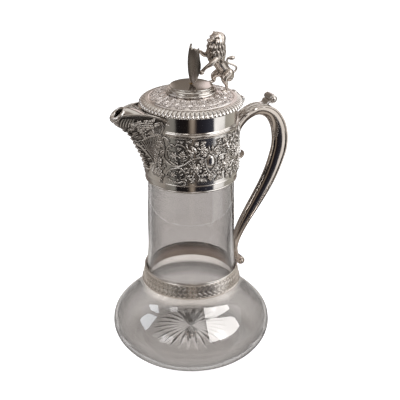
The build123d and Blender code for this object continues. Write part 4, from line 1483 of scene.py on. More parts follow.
@dataclass
class Handle:
    """The cast handle with its leaf, thumb scroll and end scrolls."""

    line: tuple[Flat, ...] = (
        (42.19, 203.0), (46.9, 214.59), (55.96, 223.25), (67.89, 226.88), (79.5, 222.57), (86.93, 212.53),
        (90.26, 200.38), (90.27, 187.81), (86.99, 175.64), (82.56, 163.82), (76.98, 152.51), (70.5, 141.67),
        (63.73, 131.02), (57.0, 120.34), (50.9, 109.29), (46.47, 97.49), (45.25, 84.98),
    )
    width: float = 13.0
    depth: float = 13.6
    stations: tuple[tuple[float, float, float], ...] = (
        (0.0, 0.9, 0.82), (0.06, 0.96, 0.74), (0.13, 1.0, 0.74), (0.2, 1.0, 0.78), (0.28, 1.0, 0.91),
        (0.36, 1.0, 1.02), (0.44, 1.0, 1.03), (0.52, 1.0, 0.95), (0.62, 0.98, 0.84), (0.74, 0.92, 0.72),
        (0.84, 0.82, 0.6), (0.92, 0.7, 0.48), (1.0, 0.52, 0.34),
    )
    root_line: tuple[Station, ...] = (
        (43.55, 209.0, 7.6, 2.1), (43.55, 201.0, 7.4, 2.2), (43.6, 194.0, 7.0, 2.2), (44.0, 188.6, 6.6, 2.2),
        (45.6, 184.6, 6.4, 2.1), (48.6, 182.8, 6.4, 2.0), (51.4, 183.9, 6.2, 1.9), (52.9, 186.6, 6.0, 1.6),
        (52.4, 188.6, 5.6, 1.3),
    )
    tail_line: tuple[Station, ...] = (
        (46.9, 93.0, 7.4, 3.0), (47.3, 86.5, 7.2, 3.4), (48.3, 81.0, 6.8, 4.2), (49.5, 77.2, 6.6, 4.4),
        (50.0, 74.2, 6.4, 4.6), (49.6, 72.6, 6.2, 3.6),
    )
    thumb_line: tuple[Station, ...] = (
        (62.5, 229.4, 8.5, 2.6), (66.5, 230.4, 9.8, 3.0), (70.8, 230.8, 11.0, 3.0), (74.6, 231.9, 12.2, 2.4),
    )
    leaf_start: float = 0.052
    leaf_length: float = 0.168
    leaf_half: float = 6.9
    thumb_eye: Flat = (80.2, 236.8)
    tail_eye: Flat = (52.17, 74.4)
    mount_heights: tuple[float, ...] = (60.0, 82.0, 82.3, 84.2, 90.0, 150.0, 170.0, 245.0)
    mount_radii: tuple[float, ...] = (47.7, 43.98, 44.2, 44.2, 43.4, 41.3, 42.41, 42.41)

    def __post_init__(self) -> None:
        """Draws the centre line out and measures it."""
        self.path = np.array(flowing(self.line, 10))
        steps = np.linalg.norm(np.diff(self.path, axis=0), axis=1)
        self.place = np.concatenate([[0.0], np.cumsum(steps)]) / steps.sum()
        run = np.gradient(self.path, axis=0)
        self.run = run / np.linalg.norm(run, axis=1, keepdims=True)

    def frame(self, share: Array) -> tuple[Array, ...]:
        """Gives the centre line's X and Z and its direction at a share of its length."""
        return tuple(np.interp(share, self.place, column) for column in (*self.path.T, *self.run.T))

    def size(self, share: Array) -> tuple[Array, Array]:
        """Gives the width and the depth at a share of the length."""
        table = np.array(flowing(self.stations, 6))
        widths = np.interp(share, table[:, 0], table[:, 1]) * self.width
        return widths, np.interp(share, table[:, 0], table[:, 2]) * self.depth

    def point(self, share: Array, across: Array, out: Array) -> Array:
        """Gives places in the handle's own frame: along it, across it and outwards."""
        x, z, run_x, run_z = self.frame(share)
        return np.stack([x - run_z * out, across, z + run_x * out], axis=-1)

    def bar(self) -> Piece:
        """Shapes the bar: a moulded outer face with flanges, flat sides and a round inner face."""
        profile = self._profile()
        count, rows = len(profile) - 1, 150

        def form(along: Array, around: Array) -> Array:
            """Gives the bar's places."""
            row = np.rint(along * (rows + 1)).astype(int)
            share = np.clip((row - 1) / (rows - 1.0), 0.0, 1.0)
            closed = (row == 0) | (row == rows + 1)
            shape = profile[np.rint(around * count).astype(int)]
            width, depth = self.size(share)
            across = shape[:, 0] * width / 2.0
            out = shape[:, 1] * depth / 2.0
            return self.point(share, np.where(closed, 0.0, across), np.where(closed, 0.0, out))

        return smooth(skin("handle_bar", form, rows + 1, count), 38.0)

    @staticmethod
    def _profile() -> Array:
        """Gives the bar's section as shares of its half width and half depth."""
        half = [
            (0.0, 0.9), (0.22, 0.905), (0.4, 0.91), (0.5, 0.9), (0.58, 0.84), (0.66, 0.83), (0.73, 0.9), (0.8, 0.98),
            (0.9, 1.0), (0.985, 0.96), (1.0, 0.88), (1.0, 0.76), (0.975, 0.7), (0.9, 0.655), (0.86, 0.62),
            (0.85, 0.56), (0.865, 0.46), (0.86, 0.32), (0.84, 0.16), (0.81, -0.02), (0.76, -0.2), (0.69, -0.38),
            (0.6, -0.55), (0.49, -0.71), (0.34, -0.86), (0.17, -0.96), (0.0, -1.0),
        ]
        other = [(-across, out) for across, out in reversed(half[1:-1])]
        return np.array([*half, *other, half[0]])

    def leaf(self) -> Piece:
        """Shapes the acanthus leaf laid on the arm."""

        def form(along: Array, around: Array) -> Array:
            """Gives the leaf's places."""
            share = self.leaf_start + self.leaf_length * along
            side = (around - 0.5) * 2.0
            lobes = 0.84 + 0.16 * np.abs(np.sin(along * pi * 4.0))
            spread = np.interp(along, [0.0, 0.12, 0.35, 0.7, 1.0], [0.35, 0.75, 1.0, 1.02, 0.9]) * lobes
            _, depth = self.size(share)
            veins = 0.5 * np.cos((along * 4.0 - np.abs(side) * 1.1) * TURN) * np.abs(side) ** 0.7
            ridge = 0.7 * np.exp(-((side / 0.14) ** 2))
            rise = np.interp(along, [0.0, 0.15, 0.4, 1.0], [0.35, 0.9, 1.0, 1.05]) * 1.5
            out = depth / 2.0 - 0.9 + (rise + ridge + veins) * np.clip(1.25 - np.abs(side) ** 3, 0.0, 1.0)
            out = np.where(np.abs(side) > 0.995, depth / 2.0 - 1.6, out)
            return self.point(share, side * spread * self.leaf_half, out)

        return smooth(sheet_metal("arm_leaf", form, 60, 36, 1.2), 50.0)

    def thumb_scroll(self) -> Piece:
        """Rolls the thumb scroll up from the leaf's end."""
        x, z = self.thumb_eye
        spiral = []
        for step in range(19):
            angle = radians(-150.0 + 30.0 * step)
            reach = 4.1 - 2.7 * (step / 18.0)
            spiral.append((x + reach * cos(angle), z + reach * sin(angle), 13.2, 1.7))
        roll = strap("thumb_roll", [*self.thumb_line, *spiral], 5)
        beads = []
        for y in (-6.8, 6.8):
            eye = (x, y, z)
            bead = add_primitive("uv_sphere", segments=24, ring_count=14, radius=2.6, location=eye)
            with editing(bead):
                bpy.ops.transform.resize(value=(1.0, 0.8, 1.0), center_override=eye)
            beads.append(smooth(bead, 80.0))
        return join("thumb_roll", [roll, *beads])

    def root_scroll(self) -> Piece:
        """Bends the strap that runs down the collar and curls out."""
        return strap("root_scroll", self.root_line, 5)

    def tail_scroll(self) -> Piece:
        """Shapes the scroll on the neck band and the link that carries it."""
        x, z = self.tail_eye
        flat = (pi / 2.0, 0.0, 0.0)
        drum = add_primitive("cylinder", vertices=40, radius=3.9, depth=8.6, location=(x, 0.0, z), rotation=flat)
        apply_modifier(drum, "BEVEL", width=0.8, segments=3, limit_method="ANGLE", angle_limit=0.9)
        parts = [smooth(drum, 40.0)]
        for y in (-4.3, 4.3):
            ring = add_primitive(
                "torus", major_radius=3.0, minor_radius=0.55, major_segments=32, minor_segments=8,
                location=(x, y, z), rotation=flat,
            )
            parts.append(smooth(ring, 80.0))
            eye = add_primitive("uv_sphere", segments=24, ring_count=14, radius=2.3, location=(x, y, z))
            parts.append(smooth(eye, 80.0))
        return join("tail_scroll", [*parts, strap("tail_link", self.tail_line, 5)])

    def fit(self, piece: Piece) -> Piece:
        """Keeps a piece of the handle clear of the frieze and of the neck band."""

        def clear(places: Array) -> Array:
            """Pushes places out of the mount."""
            return push_out(places, np.interp(places[:, 2], self.mount_heights, self.mount_radii))

        move_points(piece, clear)
        return piece


@dataclass
class Finial:
    """The lion rampant with a shield."""

    height: float = 54.0
    base: float = 250.46
    grain: float = 0.45
    shield_bottom: float = 260.8
    shield_height: float = 34.0
    shield_width: float = 22.6
    limbs: tuple[tuple[Station, ...], ...] = (
        ((0.64, 0.0, 0.31, 0.085), (0.56, 0.0, 0.4, 0.1), (0.48, 0.0, 0.52, 0.108), (0.43, 0.0, 0.65, 0.14),
         (0.45, 0.0, 0.79, 0.125)),
        ((0.5, 0.0, 0.88, 0.108), (0.44, -0.01, 0.885, 0.112), (0.365, -0.025, 0.86, 0.062),
         (0.335, -0.03, 0.85, 0.05)),
        ((0.42, -0.1, 0.6, 0.055), (0.3, -0.13, 0.52, 0.045), (0.2, -0.12, 0.46, 0.03),
         (0.15, -0.1, 0.395, 0.034)),
        ((0.42, 0.1, 0.66, 0.055), (0.31, 0.13, 0.6, 0.042), (0.21, 0.12, 0.67, 0.03), (0.12, 0.1, 0.69, 0.034)),
        ((0.64, -0.08, 0.31, 0.08), (0.55, -0.11, 0.23, 0.06), (0.585, -0.12, 0.12, 0.03),
         (0.585, -0.12, 0.04, 0.027), (0.535, -0.12, 0.013, 0.028)),
        ((0.58, 0.08, 0.3, 0.08), (0.46, 0.1, 0.24, 0.055), (0.46, 0.1, 0.15, 0.03), (0.37, 0.1, 0.131, 0.028)),
        ((0.7, 0.0, 0.29, 0.024), (0.79, 0.0, 0.29, 0.02), (0.825, 0.0, 0.36, 0.018), (0.74, 0.0, 0.42, 0.018),
         (0.655, 0.0, 0.46, 0.018), (0.66, 0.0, 0.53, 0.018), (0.73, 0.0, 0.525, 0.034)),
    )

    def place(self, x: float, y: float, z: float) -> Place:
        """Gives a point of the lion from shares of its height."""
        return (self.height * x, self.height * y, self.base + self.height * z)

    def ball(self, at: Place, radius: float, stretch: Place = (1.0, 1.0, 1.0)) -> Piece:
        """Adds a round mass.

        Args:
            at: Its centre, in shares of the lion's height.
            radius: Its radius as such a share.
            stretch: Its sizes along X, Y and Z.

        Returns:
            The mass.
        """
        centre = self.place(*at)
        piece = add_primitive("ico_sphere", subdivisions=3, radius=self.height * radius, location=centre)
        with editing(piece):
            bpy.ops.transform.resize(value=stretch, center_override=centre)
        return piece

    def lion(self) -> Piece:
        """Builds the lion of round masses and casts them into one."""
        masses = []
        for limb in self.limbs:
            drawn = flowing(limb, 5)
            line = [self.place(*station[:3]) for station in drawn]
            masses.append(tube("limb", line, [station[3] * self.height for station in drawn], 6))
            for station in (limb[0], limb[-1]):
                masses.append(self.ball(station[:3], station[3]))
        masses += self._mane()
        for at, radius, stretch in (
            ((0.375, -0.035, 0.925), 0.03, (1.2, 1.0, 0.7)), ((0.375, 0.035, 0.925), 0.03, (1.2, 1.0, 0.7)),
            ((0.315, 0.0, 0.872), 0.036, (1.1, 1.0, 0.8)), ((0.33, 0.0, 0.822), 0.03, (1.1, 0.9, 0.7)),
            ((0.445, -0.078, 0.965), 0.027, (0.8, 0.6, 1.2)), ((0.445, 0.078, 0.965), 0.027, (0.8, 0.6, 1.2)),
            ((0.14, -0.1, 0.385), 0.043, (1.1, 1.0, 0.9)), ((0.12, 0.1, 0.69), 0.043, (1.0, 1.1, 1.0)),
            ((0.52, -0.12, 0.022), 0.036, (1.5, 1.0, 0.7)), ((0.36, 0.1, 0.135), 0.036, (1.4, 1.0, 0.7)),
            ((0.74, 0.0, 0.53), 0.045, (1.3, 0.8, 0.8)), ((0.66, -0.07, 0.27), 0.095, (0.9, 0.7, 1.2)),
            ((0.62, 0.07, 0.27), 0.09, (0.9, 0.7, 1.2)), ((0.44, -0.105, 0.63), 0.07, (1.0, 0.6, 1.2)),
            ((0.44, 0.105, 0.68), 0.07, (1.0, 0.6, 1.2)),
        ):
            masses.append(self.ball(at, radius, stretch))
        lion = join("lion_cast", masses)
        apply_modifier(lion, "REMESH", mode="VOXEL", voxel_size=self.grain)
        apply_modifier(lion, "SMOOTH", iterations=2, factor=0.5)
        mark_hollows(lion, 14, 0.42, 0.72)
        return smooth(lion, 180.0)

    def _mane(self) -> list[Piece]:
        """Hangs the wavy locks of the mane in rows round the head, the neck and down the back."""
        locks = []
        rows = ((0.97, 0.082, 9, 0.12), (0.9, 0.116, 12, 0.15), (0.82, 0.126, 13, 0.17), (0.735, 0.13, 13, 0.18),
                (0.655, 0.12, 10, 0.16))
        for row, (start, reach, count, drop) in enumerate(rows):
            free = 62.0 if row < 2 else 20.0
            for index in range(count):
                turn = radians(180.0 + free + (360.0 - 2.0 * free) * (index + 0.5 * (row % 2)) / count)
                line, widths = [], []
                for step, out in enumerate((-0.012, 0.012, 0.014, 0.008, 0.02)):
                    wave = 0.1 * sin(1.7 * step + index)
                    radius = reach + out
                    line.append(self.place(
                        0.445 + radius * cos(turn + wave), radius * 0.92 * sin(turn + wave),
                        start - drop * step / 4.0,
                    ))
                    widths.append(self.height * (0.02, 0.028, 0.027, 0.021, 0.008)[step])
                locks.append(tube("lock", line, widths, 6))
        return locks

    def shield(self) -> Piece:
        """Shapes the shield, hollow towards the lion."""
        half, high = self.shield_width / 2.0, self.shield_height
        outline = np.array(flowing(
            [(0.0, 0.05), (0.05, 0.4), (0.16, 0.66), (0.32, 0.86), (0.55, 1.0), (0.78, 0.93), (1.0, 0.72)], 6
        ))

        def front(along: Array, around: Array) -> Array:
            """Gives the shield's front."""
            side = (around - 0.5) * 2.0
            y = side * half * np.interp(along, outline[:, 0], outline[:, 1])
            crest = 0.045 + 0.03 * np.cos(side * pi * 4.0) + 0.03 * np.abs(side) ** 6
            z = high * (0.885 * along + crest * np.clip((along - 0.7) / 0.3, 0.0, 1.0) ** 2)
            curve = 14.0 - 2.2 * (2.0 * z / high - 1.0) ** 2
            x = 12.0 - np.sqrt(curve**2 - y**2)
            return np.stack([x, y, z + self.shield_bottom + 0.05], axis=-1)

        return smooth(sheet_metal("shield_cast", front, 48, 40, 1.6), 45.0)


# ---------------------------------------------------------------- chased work
def mirrored(piece: Piece, axis: int) -> Piece:
    """Copies a piece to the other side of the jug.

    Args:
        piece: The mesh to copy.
        axis: 0 to mirror it along X, 1 along Y.

    Returns:
        The mirrored copy, its faces outwards.
    """
    other = copied(piece)
    sign = np.ones(3)
    sign[axis] = -1.0
    move_points(other, lambda places: places * sign)
    with editing(other):
        bpy.ops.mesh.flip_normals()
    return other


@dataclass
class Frieze:
    """The frieze: flowered scrolls, reclining children, lion masks and cartouches."""

    punches: Punches
    radius: float = 42.25
    span: Flat = (180.0, 226.0)
    middle: float = -90.9
    lean: float = -0.8
    mask_at: Flat = (-18.2, 197.3)
    filling_turns: Flat = (62.0, 20.0)
    filling_rise: Flat = (184.5, 37.0)
    filling_leaves: int = 34
    stems: tuple[tuple[tuple[Flat, ...], Tone], ...] = (
        ((
            (-52.6, 222.0), (-54.2, 223.9), (-57.6, 224.3), (-59.4, 222.2), (-57.8, 218.6), (-56.6, 213.5),
            (-58.0, 208.0), (-56.2, 204.0), (-51.5, 201.0), (-46.0, 199.2), (-39.2, 199.0), (-32.0, 201.4),
            (-26.5, 204.4), (-20.5, 206.8), (-14.0, 207.6), (-10.0, 206.8),
        ), (0.85, 0.65, 0.45)),
        ((
            (-39.0, 199.6), (-44.5, 200.8), (-50.0, 203.6), (-53.4, 208.0), (-53.6, 213.0), (-50.8, 217.2),
            (-46.6, 218.8), (-43.6, 217.4), (-40.6, 219.3), (-35.6, 219.2), (-30.6, 216.8), (-27.6, 212.4),
            (-28.4, 207.4), (-32.0, 204.8), (-36.4, 205.0),
        ), (0.72, 0.42, 0.4)),
        ((
            (-37.1, 198.2), (-42.5, 197.2), (-48.6, 195.6), (-53.2, 192.4), (-53.8, 188.8), (-50.4, 185.8),
            (-45.0, 184.4), (-39.0, 183.8), (-34.6, 185.2), (-31.4, 184.8), (-30.8, 182.6), (-33.4, 181.9),
        ), (0.8, 0.55, 0.42)),
        ((
            (-36.6, 198.0), (-33.0, 195.6), (-29.9, 192.2), (-31.4, 188.2), (-35.6, 187.4), (-37.2, 190.0),
        ), (0.7, 0.4, 0.4)),
    )

    def at(self, turn: float, height: float) -> Flat:
        """Gives the flat place for degrees from the cartouche and a height."""
        return (radians(turn) * self.radius, height - sum(self.span) / 2.0)

    def line(self, *places: Flat) -> list[Flat]:
        """Draws a smooth flat line through places given as degrees and heights."""
        return [(point[0], point[1]) for point in flowing([self.at(*place) for place in places], 5)]

    def scroll_half(self, sheet: Ornament) -> None:
        """Strikes the scrolls between the spout and the cartouche."""
        for places, thick in self.stems:
            sheet.stem(self.line(*places), *thick)
        for place, turn, length, width in (
            ((-33.6, 197.0), 20.0, 4.2, 2.2), ((-31.0, 194.6), -4.0, 3.8, 2.1), ((-29.9, 191.6), -24.0, 3.6, 2.0),
            ((-31.4, 188.6), -52.0, 3.4, 1.9), ((-35.0, 196.4), -128.0, 4.6, 2.1), ((-33.2, 192.6), -160.0, 3.4, 1.8),
        ):
            sheet.petal(self.at(*place), turn, length, width, 1.15, 0.25)
        self._flower(sheet, (-44.2, 208.9), 3.9, 1.35)
        self._flower(sheet, (-45.6, 190.9), 3.0, 1.15)
        sheet.leaf(self.at(-35.4, 206.4), 78.0, 8.6, 4, 1.35, 58.0)
        sheet.leaf(self.at(-37.5, 216.8), -108.0, 4.4, 3, 1.0, 60.0)
        for turn, height, way, length in (
            (-47.0, 215.8, 150.0, 3.4), (-49.4, 212.6, 175.0, 2.8), (-48.8, 205.6, 215.0, 3.0),
            (-41.6, 203.6, -62.0, 3.0), (-31.0, 209.4, -10.0, 2.6), (-41.0, 213.8, 62.0, 3.2),
            (-39.6, 204.8, 160.0, 2.8), (-30.8, 213.6, 30.0, 2.6), (-49.6, 189.0, 190.0, 2.6),
            (-41.5, 187.6, -40.0, 2.8), (-41.8, 193.6, 40.0, 2.8), (-48.2, 193.2, 140.0, 2.2),
        ):
            sheet.petal(self.at(turn, height), way, length, length * 0.5, 0.8, 0.05)
        for turn, height, way in (
            (-23.6, 206.4, 100.0), (-17.0, 208.6, 60.0), (-26.8, 203.2, -60.0), (-12.4, 206.0, -70.0),
        ):
            sheet.leaf(self.at(turn, height), way, 4.0, 3, 0.9)
        for step in range(9):
            height = 204.4 - step * 2.75
            turn = -62.6 - 1.2 * sin(step * 0.8)
            wide = 3.9 - 0.24 * step
            for way in (-58.0 + step, -122.0 - step):
                sheet.petal(self.at(turn, height), way, wide, wide * 0.55, 1.3 - 0.05 * step, 0.15)
            sheet.bead(self.at(turn, height + 0.6), 0.72 - 0.03 * step, 1.6)
        sheet.leaf(self.at(-60.4, 214.4), 98.0, 6.6, 4, 1.1, 52.0)
        sheet.leaf(self.at(-61.0, 212.6), -84.0, 6.0, 3, 1.2, 60.0)
        for turn, height, way, length in (
            (-24.0, 201.6, -20.0, 4.6), (-27.6, 198.6, -70.0, 4.2), (-26.4, 195.0, 200.0, 3.6),
            (-22.8, 203.4, 40.0, 3.8), (-27.4, 189.8, -50.0, 4.2), (-24.6, 187.4, 20.0, 4.4),
            (-20.6, 186.2, 200.0, 4.0), (-15.6, 187.2, -20.0, 4.6), (-12.0, 190.6, 40.0, 4.0),
            (-9.8, 187.0, -30.0, 4.2), (-11.4, 199.6, 60.0, 4.2), (-9.8, 204.0, 120.0, 3.4),
            (-13.4, 210.6, 70.0, 4.8), (-9.6, 213.0, 40.0, 5.0), (-16.8, 212.4, 120.0, 3.6),
            (-11.8, 220.6, 20.0, 4.2), (-23.4, 222.6, 170.0, 4.2), (-33.4, 221.4, 160.0, 3.4),
            (-21.8, 210.6, 190.0, 3.6), (-30.0, 222.6, 10.0, 3.6), (-55.4, 198.6, 210.0, 3.6),
            (-58.0, 194.6, 150.0, 3.2), (-57.4, 189.0, 200.0, 3.0), (-41.6, 221.4, 30.0, 3.2),
            (-50.2, 221.2, 150.0, 3.4), (-35.6, 202.0, 30.0, 3.0), (-42.6, 201.8, 80.0, 2.6),
        ):
            sheet.leaf(self.at(turn, height), way, length, 3, 1.1)
        for turn, height in (
            (-63.4, 221.5), (-64.4, 217.0), (-65.6, 212.5), (-67.0, 208.0), (-68.4, 203.5), (-70.0, 199.0),
            (-71.8, 194.5),
        ):
            sheet.leaf(self.at(turn, height), 62.0, 4.6, 3, 1.1)
            sheet.leaf(self.at(turn, height), 118.0, 4.2, 3, 1.0)
            sheet.bead(self.at(turn, height - 0.6), 0.8, 0.9)
        for turn in (-68.5, -74.5):
            sheet.leaf(self.at(turn, 186.0), 82.0, 9.0 - (turn + 68.5) * 0.2, 4, 0.7, 44.0)

    def _flower(self, sheet: Ornament, place: Flat, radius: float, height: float) -> None:
        """Strikes a full-blown flower with a beaded eye."""
        centre = self.at(*place)
        sheet.rosette(centre, radius, 6, height * 0.8)
        for index in range(5):
            turn = 36.0 + 72.0 * index
            sheet.petal(centre, turn, radius * 0.62, radius * 0.42, height * 1.1, 0.3)
        sheet.strike(sheet.punches.ring, centre, (radius * 0.36, radius * 0.36, height * 1.5), 0.0, 0.7)
        sheet.bead(centre, radius * 0.2, height * 1.9)

    def child(self, sheet: Ornament) -> None:
        """Strikes the reclining child among the scrolls."""
        for turn, height, long, wide, way, high in (
            (-17.8, 220.4, 2.05, 1.9, 0.0, 1.9), (-16.6, 221.6, 1.1, 0.8, 30.0, 2.0),
            (-18.9, 221.7, 1.0, 0.8, -20.0, 2.0), (-20.4, 215.6, 3.4, 2.1, 128.0, 1.8),
            (-23.0, 213.1, 2.2, 1.8, 150.0, 1.7), (-26.0, 214.6, 2.3, 1.15, 140.0, 1.5),
            (-28.4, 217.8, 2.2, 0.85, 112.0, 1.3), (-29.0, 220.4, 1.1, 0.6, 160.0, 1.2),
            (-24.8, 210.9, 2.3, 1.0, -160.0, 1.4), (-15.0, 216.4, 2.3, 0.85, -28.0, 1.5),
            (-11.9, 216.2, 1.7, 0.65, 38.0, 1.3), (-22.6, 218.4, 2.2, 0.75, 158.0, 1.4),
        ):
            sheet.strike(sheet.punches.bead, self.at(turn, height), (long, wide, high), way, 0.2)
        for index in range(4):
            sheet.petal(self.at(-14.4 + index, 219.0 - index), 30.0 - 14.0 * index, 4.4, 1.5, 1.0, 0.1)

    def mask(self, sheet: Ornament) -> None:
        """Strikes the lion mask: brow, muzzle, eyes, ears and a ring of locks."""
        turn, height = self.mask_at

        def place(across: float, up: float) -> Flat:
            """Gives a place on the mask in millimetres from its middle."""
            centre = self.at(turn, height)
            return (centre[0] + across, centre[1] + up)

        for index in range(16):
            way = 360.0 * index / 16.0 + 8.0
            root = place(2.3 * cos(radians(way)), 2.5 * sin(radians(way)))
            sheet.petal(root, way + 14.0 * (-1) ** index, 3.3, 1.5, 1.1, 0.2)
        sheet.strike(sheet.punches.bead, place(0.0, 0.2), (2.8, 3.1, 1.7), 0.0)
        sheet.strike(sheet.punches.bead, place(0.0, 0.9), (0.65, 1.7, 2.4), 0.0)
        for side in (-1.0, 1.0):
            sheet.strike(sheet.punches.bead, place(side * 0.85, -1.3), (1.05, 0.85, 2.4), 0.0)
            sheet.strike(sheet.punches.bead, place(side * 1.3, 1.2), (0.95, 0.5, 2.1), side * 24.0)
            sheet.petal(place(side * 2.0, 2.4), 90.0 - side * 34.0, 1.9, 1.4, 1.9, 0.5)
        sheet.strike(sheet.punches.bead, place(0.0, -2.3), (0.85, 0.55, 2.0), 0.0)
        for side in (-1.0, 1.0):
            for index in range(3):
                root = self.at(turn + side * (2.0 + 2.4 * index), 192.6 - 0.4 * index)
                sheet.petal(root, -90.0 + side * (30.0 + 25.0 * index), 4.3, 1.7, 1.05, 0.1)

    def cartouche(self, sheet: Ornament) -> None:
        """Strikes the plain cartouche with its border, crest and leaves."""
        outline = self.line(
            (-0.8, 192.6), (-4.4, 196.0), (-6.6, 200.6), (-7.4, 205.0), (-5.0, 207.2), (-3.4, 209.4), (-0.8, 208.4),
            (2.0, 209.4), (3.8, 207.2), (6.0, 205.0), (5.2, 200.6), (3.0, 196.0), (-0.8, 192.6),
        )
        sheet.stem(outline, 0.75, 0.75, 0.55)
        sheet.strike(sheet.punches.bead, self.at(self.lean, 202.6), (4.7, 6.6, 1.0))
        for side in (-1.0, 1.0):
            for index in range(5):
                root = self.at(self.lean + side * (1.2 + 0.9 * index), 210.6 - 0.3 * index)
                sheet.petal(root, 90.0 - side * (8.0 + 21.0 * index), 7.6 - 0.8 * index, 2.1, 1.35, 0.2)
            for index in range(4):
                root = self.at(self.lean + side * (1.6 + index), 192.6 + 1.5 * index)
                sheet.petal(root, -90.0 + side * (14.0 + 26.0 * index), 5.6 - 0.5 * index, 1.9, 1.25, 0.15)
            sheet.leaf(self.at(self.lean + side * 7.6, 212.4), 90.0 - side * 30.0, 6.4, 4, 1.1)
            sheet.leaf(self.at(self.lean + side * 8.6, 188.2), -90.0 + side * 62.0, 4.6, 3, 1.0)
            sheet.leaf(self.at(self.lean + side * 9.6, 203.0), 90.0 - side * 64.0, 4.4, 3, 1.0)
        sheet.bead(self.at(self.lean, 211.6), 1.3, 1.9)
        sheet.leaf(self.at(self.lean, 192.0), -90.0, 7.4, 4, 1.2)

    def filling(self, sheet: Ornament) -> None:
        """Strikes the close foliage beside the handle."""
        chance = sheet.chance
        (first, width), (low, rise) = self.filling_turns, self.filling_rise
        for index in range(self.filling_leaves):
            turn = first + width * chance.random()
            height = low + rise * (index + 0.5) / self.filling_leaves
            sheet.leaf(self.at(turn, height), chance.uniform(30.0, 150.0), chance.uniform(3.6, 5.6), 3, 0.95)

    def build(self) -> list[Piece]:
        """Strikes one side's sheet, lays it and copies it to the other side.

        Returns:
            The relief of both sides.
        """
        half = Ornament(self.punches, 11, 1.7)
        self.scroll_half(half)
        self.child(half)
        self.mask(half)
        left = join("frieze_half", half.parts)
        right = mirrored(left, 0)
        centre = Ornament(self.punches, 12, 1.6)
        self.cartouche(centre)
        self.filling(centre)
        centre.parts += [left, right]
        low, high = self.span
        laid = centre.lay("frieze_side", ConeWrap((self.radius, low), (self.radius, high)), 1.0)
        laid.data.transform(Matrix.Rotation(radians(self.middle), 4, "Z"))
        return [laid, mirrored(laid, 1)]


@dataclass
class SpoutChasing:
    """The chased work on the spout's sides: fruit, a hatched panel, leaves and ribs."""

    punches: Punches
    spout: Spout

    def wrap(self, places: Array) -> Array:
        """Lays flat work on the near side: X from the collar to the keel, Y up, Z out."""
        share = np.clip(places[:, 1] / self.spout.rise, 0.0, 1.05)
        edge = self.spout.side(share, np.full_like(share, -1.0))
        keel = self.spout.side(share, np.zeros_like(share))
        length = np.hypot(edge[:, 0] - keel[:, 0], edge[:, 1] - keel[:, 1])
        across = -np.clip(1.0 - places[:, 0] / length, -0.2, 1.0)
        return self.spout.side(share, across, places[:, 2])

    def strike(self, sheet: Ornament) -> None:
        """Strikes one side."""
        chance = sheet.chance
        for row in range(7):
            for column in range(6 - abs(row - 2)):
                place = (12.4 + column * 2.2 + row * 0.75 + chance.uniform(-0.3, 0.3), 55.0 - row * 2.1)
                sheet.bead(place, chance.uniform(1.0, 1.35), chance.uniform(1.2, 1.8))
        for place, radius in (((23.5, 53.2), 2.9), ((13.2, 49.2), 2.7), ((21.0, 45.4), 2.6)):
            sheet.rosette(place, radius, 6, 1.5)
        for place, way, length in (
            ((24.5, 50.0), 20.0, 7.0), ((26.0, 47.0), -25.0, 6.0), ((22.0, 42.0), -60.0, 5.5),
            ((16.0, 41.5), 250.0, 6.5), ((12.0, 44.5), 215.0, 6.5), ((10.5, 51.0), 170.0, 5.0),
            ((12.5, 55.0), 120.0, 3.5),
        ):
            sheet.leaf(place, way, length, 4, 1.4)
        for index in range(8):
            share = index / 7.0
            sheet.stem([(2.2 + share, 44.0 + share * 8.0), (9.4 - share, 41.8 + share * 10.0)], 0.3, 0.3, 0.1)
        sheet.stem([(1.6, 41.5), (10.2, 40.6), (11.0, 53.5), (2.0, 54.2), (1.6, 41.5)], 0.55, 0.55, 0.35)
        for index in range(9):
            share = index / 8.0
            tip = (2.6 + 14.6 * share, 39.6 - 7.0 * share**1.5)
            root = (2.0 + 2.0 * share, 16.5 + share)
            bend = ((root[0] + tip[0]) / 2.0 + 0.9, (root[1] + tip[1]) / 2.0 - 1.2)
            sheet.stem([root, bend, tip], 0.85, 0.5, 0.3)
            sheet.petal(tip, 70.0 + 60.0 * share, 3.4, 2.3, 1.3, 0.1)
        sheet.stem([(20.6, 31.0), (15.6, 25.4), (10.6, 20.4), (6.0, 16.4), (2.6, 12.0)], 1.25, 0.8, 0.6)
        for index in range(10):
            share = index / 9.0
            root = (6.5 + 22.0 * share, 6.0 + 38.0 * share)
            sheet.petal(root, -62.0 + 30.0 * share, 5.2, 2.2, 1.6, 0.1)
            sheet.petal(root, 165.0 - 30.0 * share, 5.0, 2.0, 1.2, 0.1)
        for index in range(5):
            start = 27.5 + index * 2.2
            sheet.stem([(start, 56.4), (start + 2.4, 52.4), (start + 1.0, 48.6 - 0.2 * index)], 0.8, 0.5, 0.35)
        sheet.leaf((2.4, 11.0), -84.0, 9.5, 5, 1.2, 50.0)

    def build(self) -> list[Piece]:
        """Strikes and lays both sides."""
        sheet = Ornament(self.punches, 21, 1.7)
        self.strike(sheet)
        laid = sheet.lay("spout_side", self.wrap, 1.0)
        return [laid, mirrored(laid, 1)]


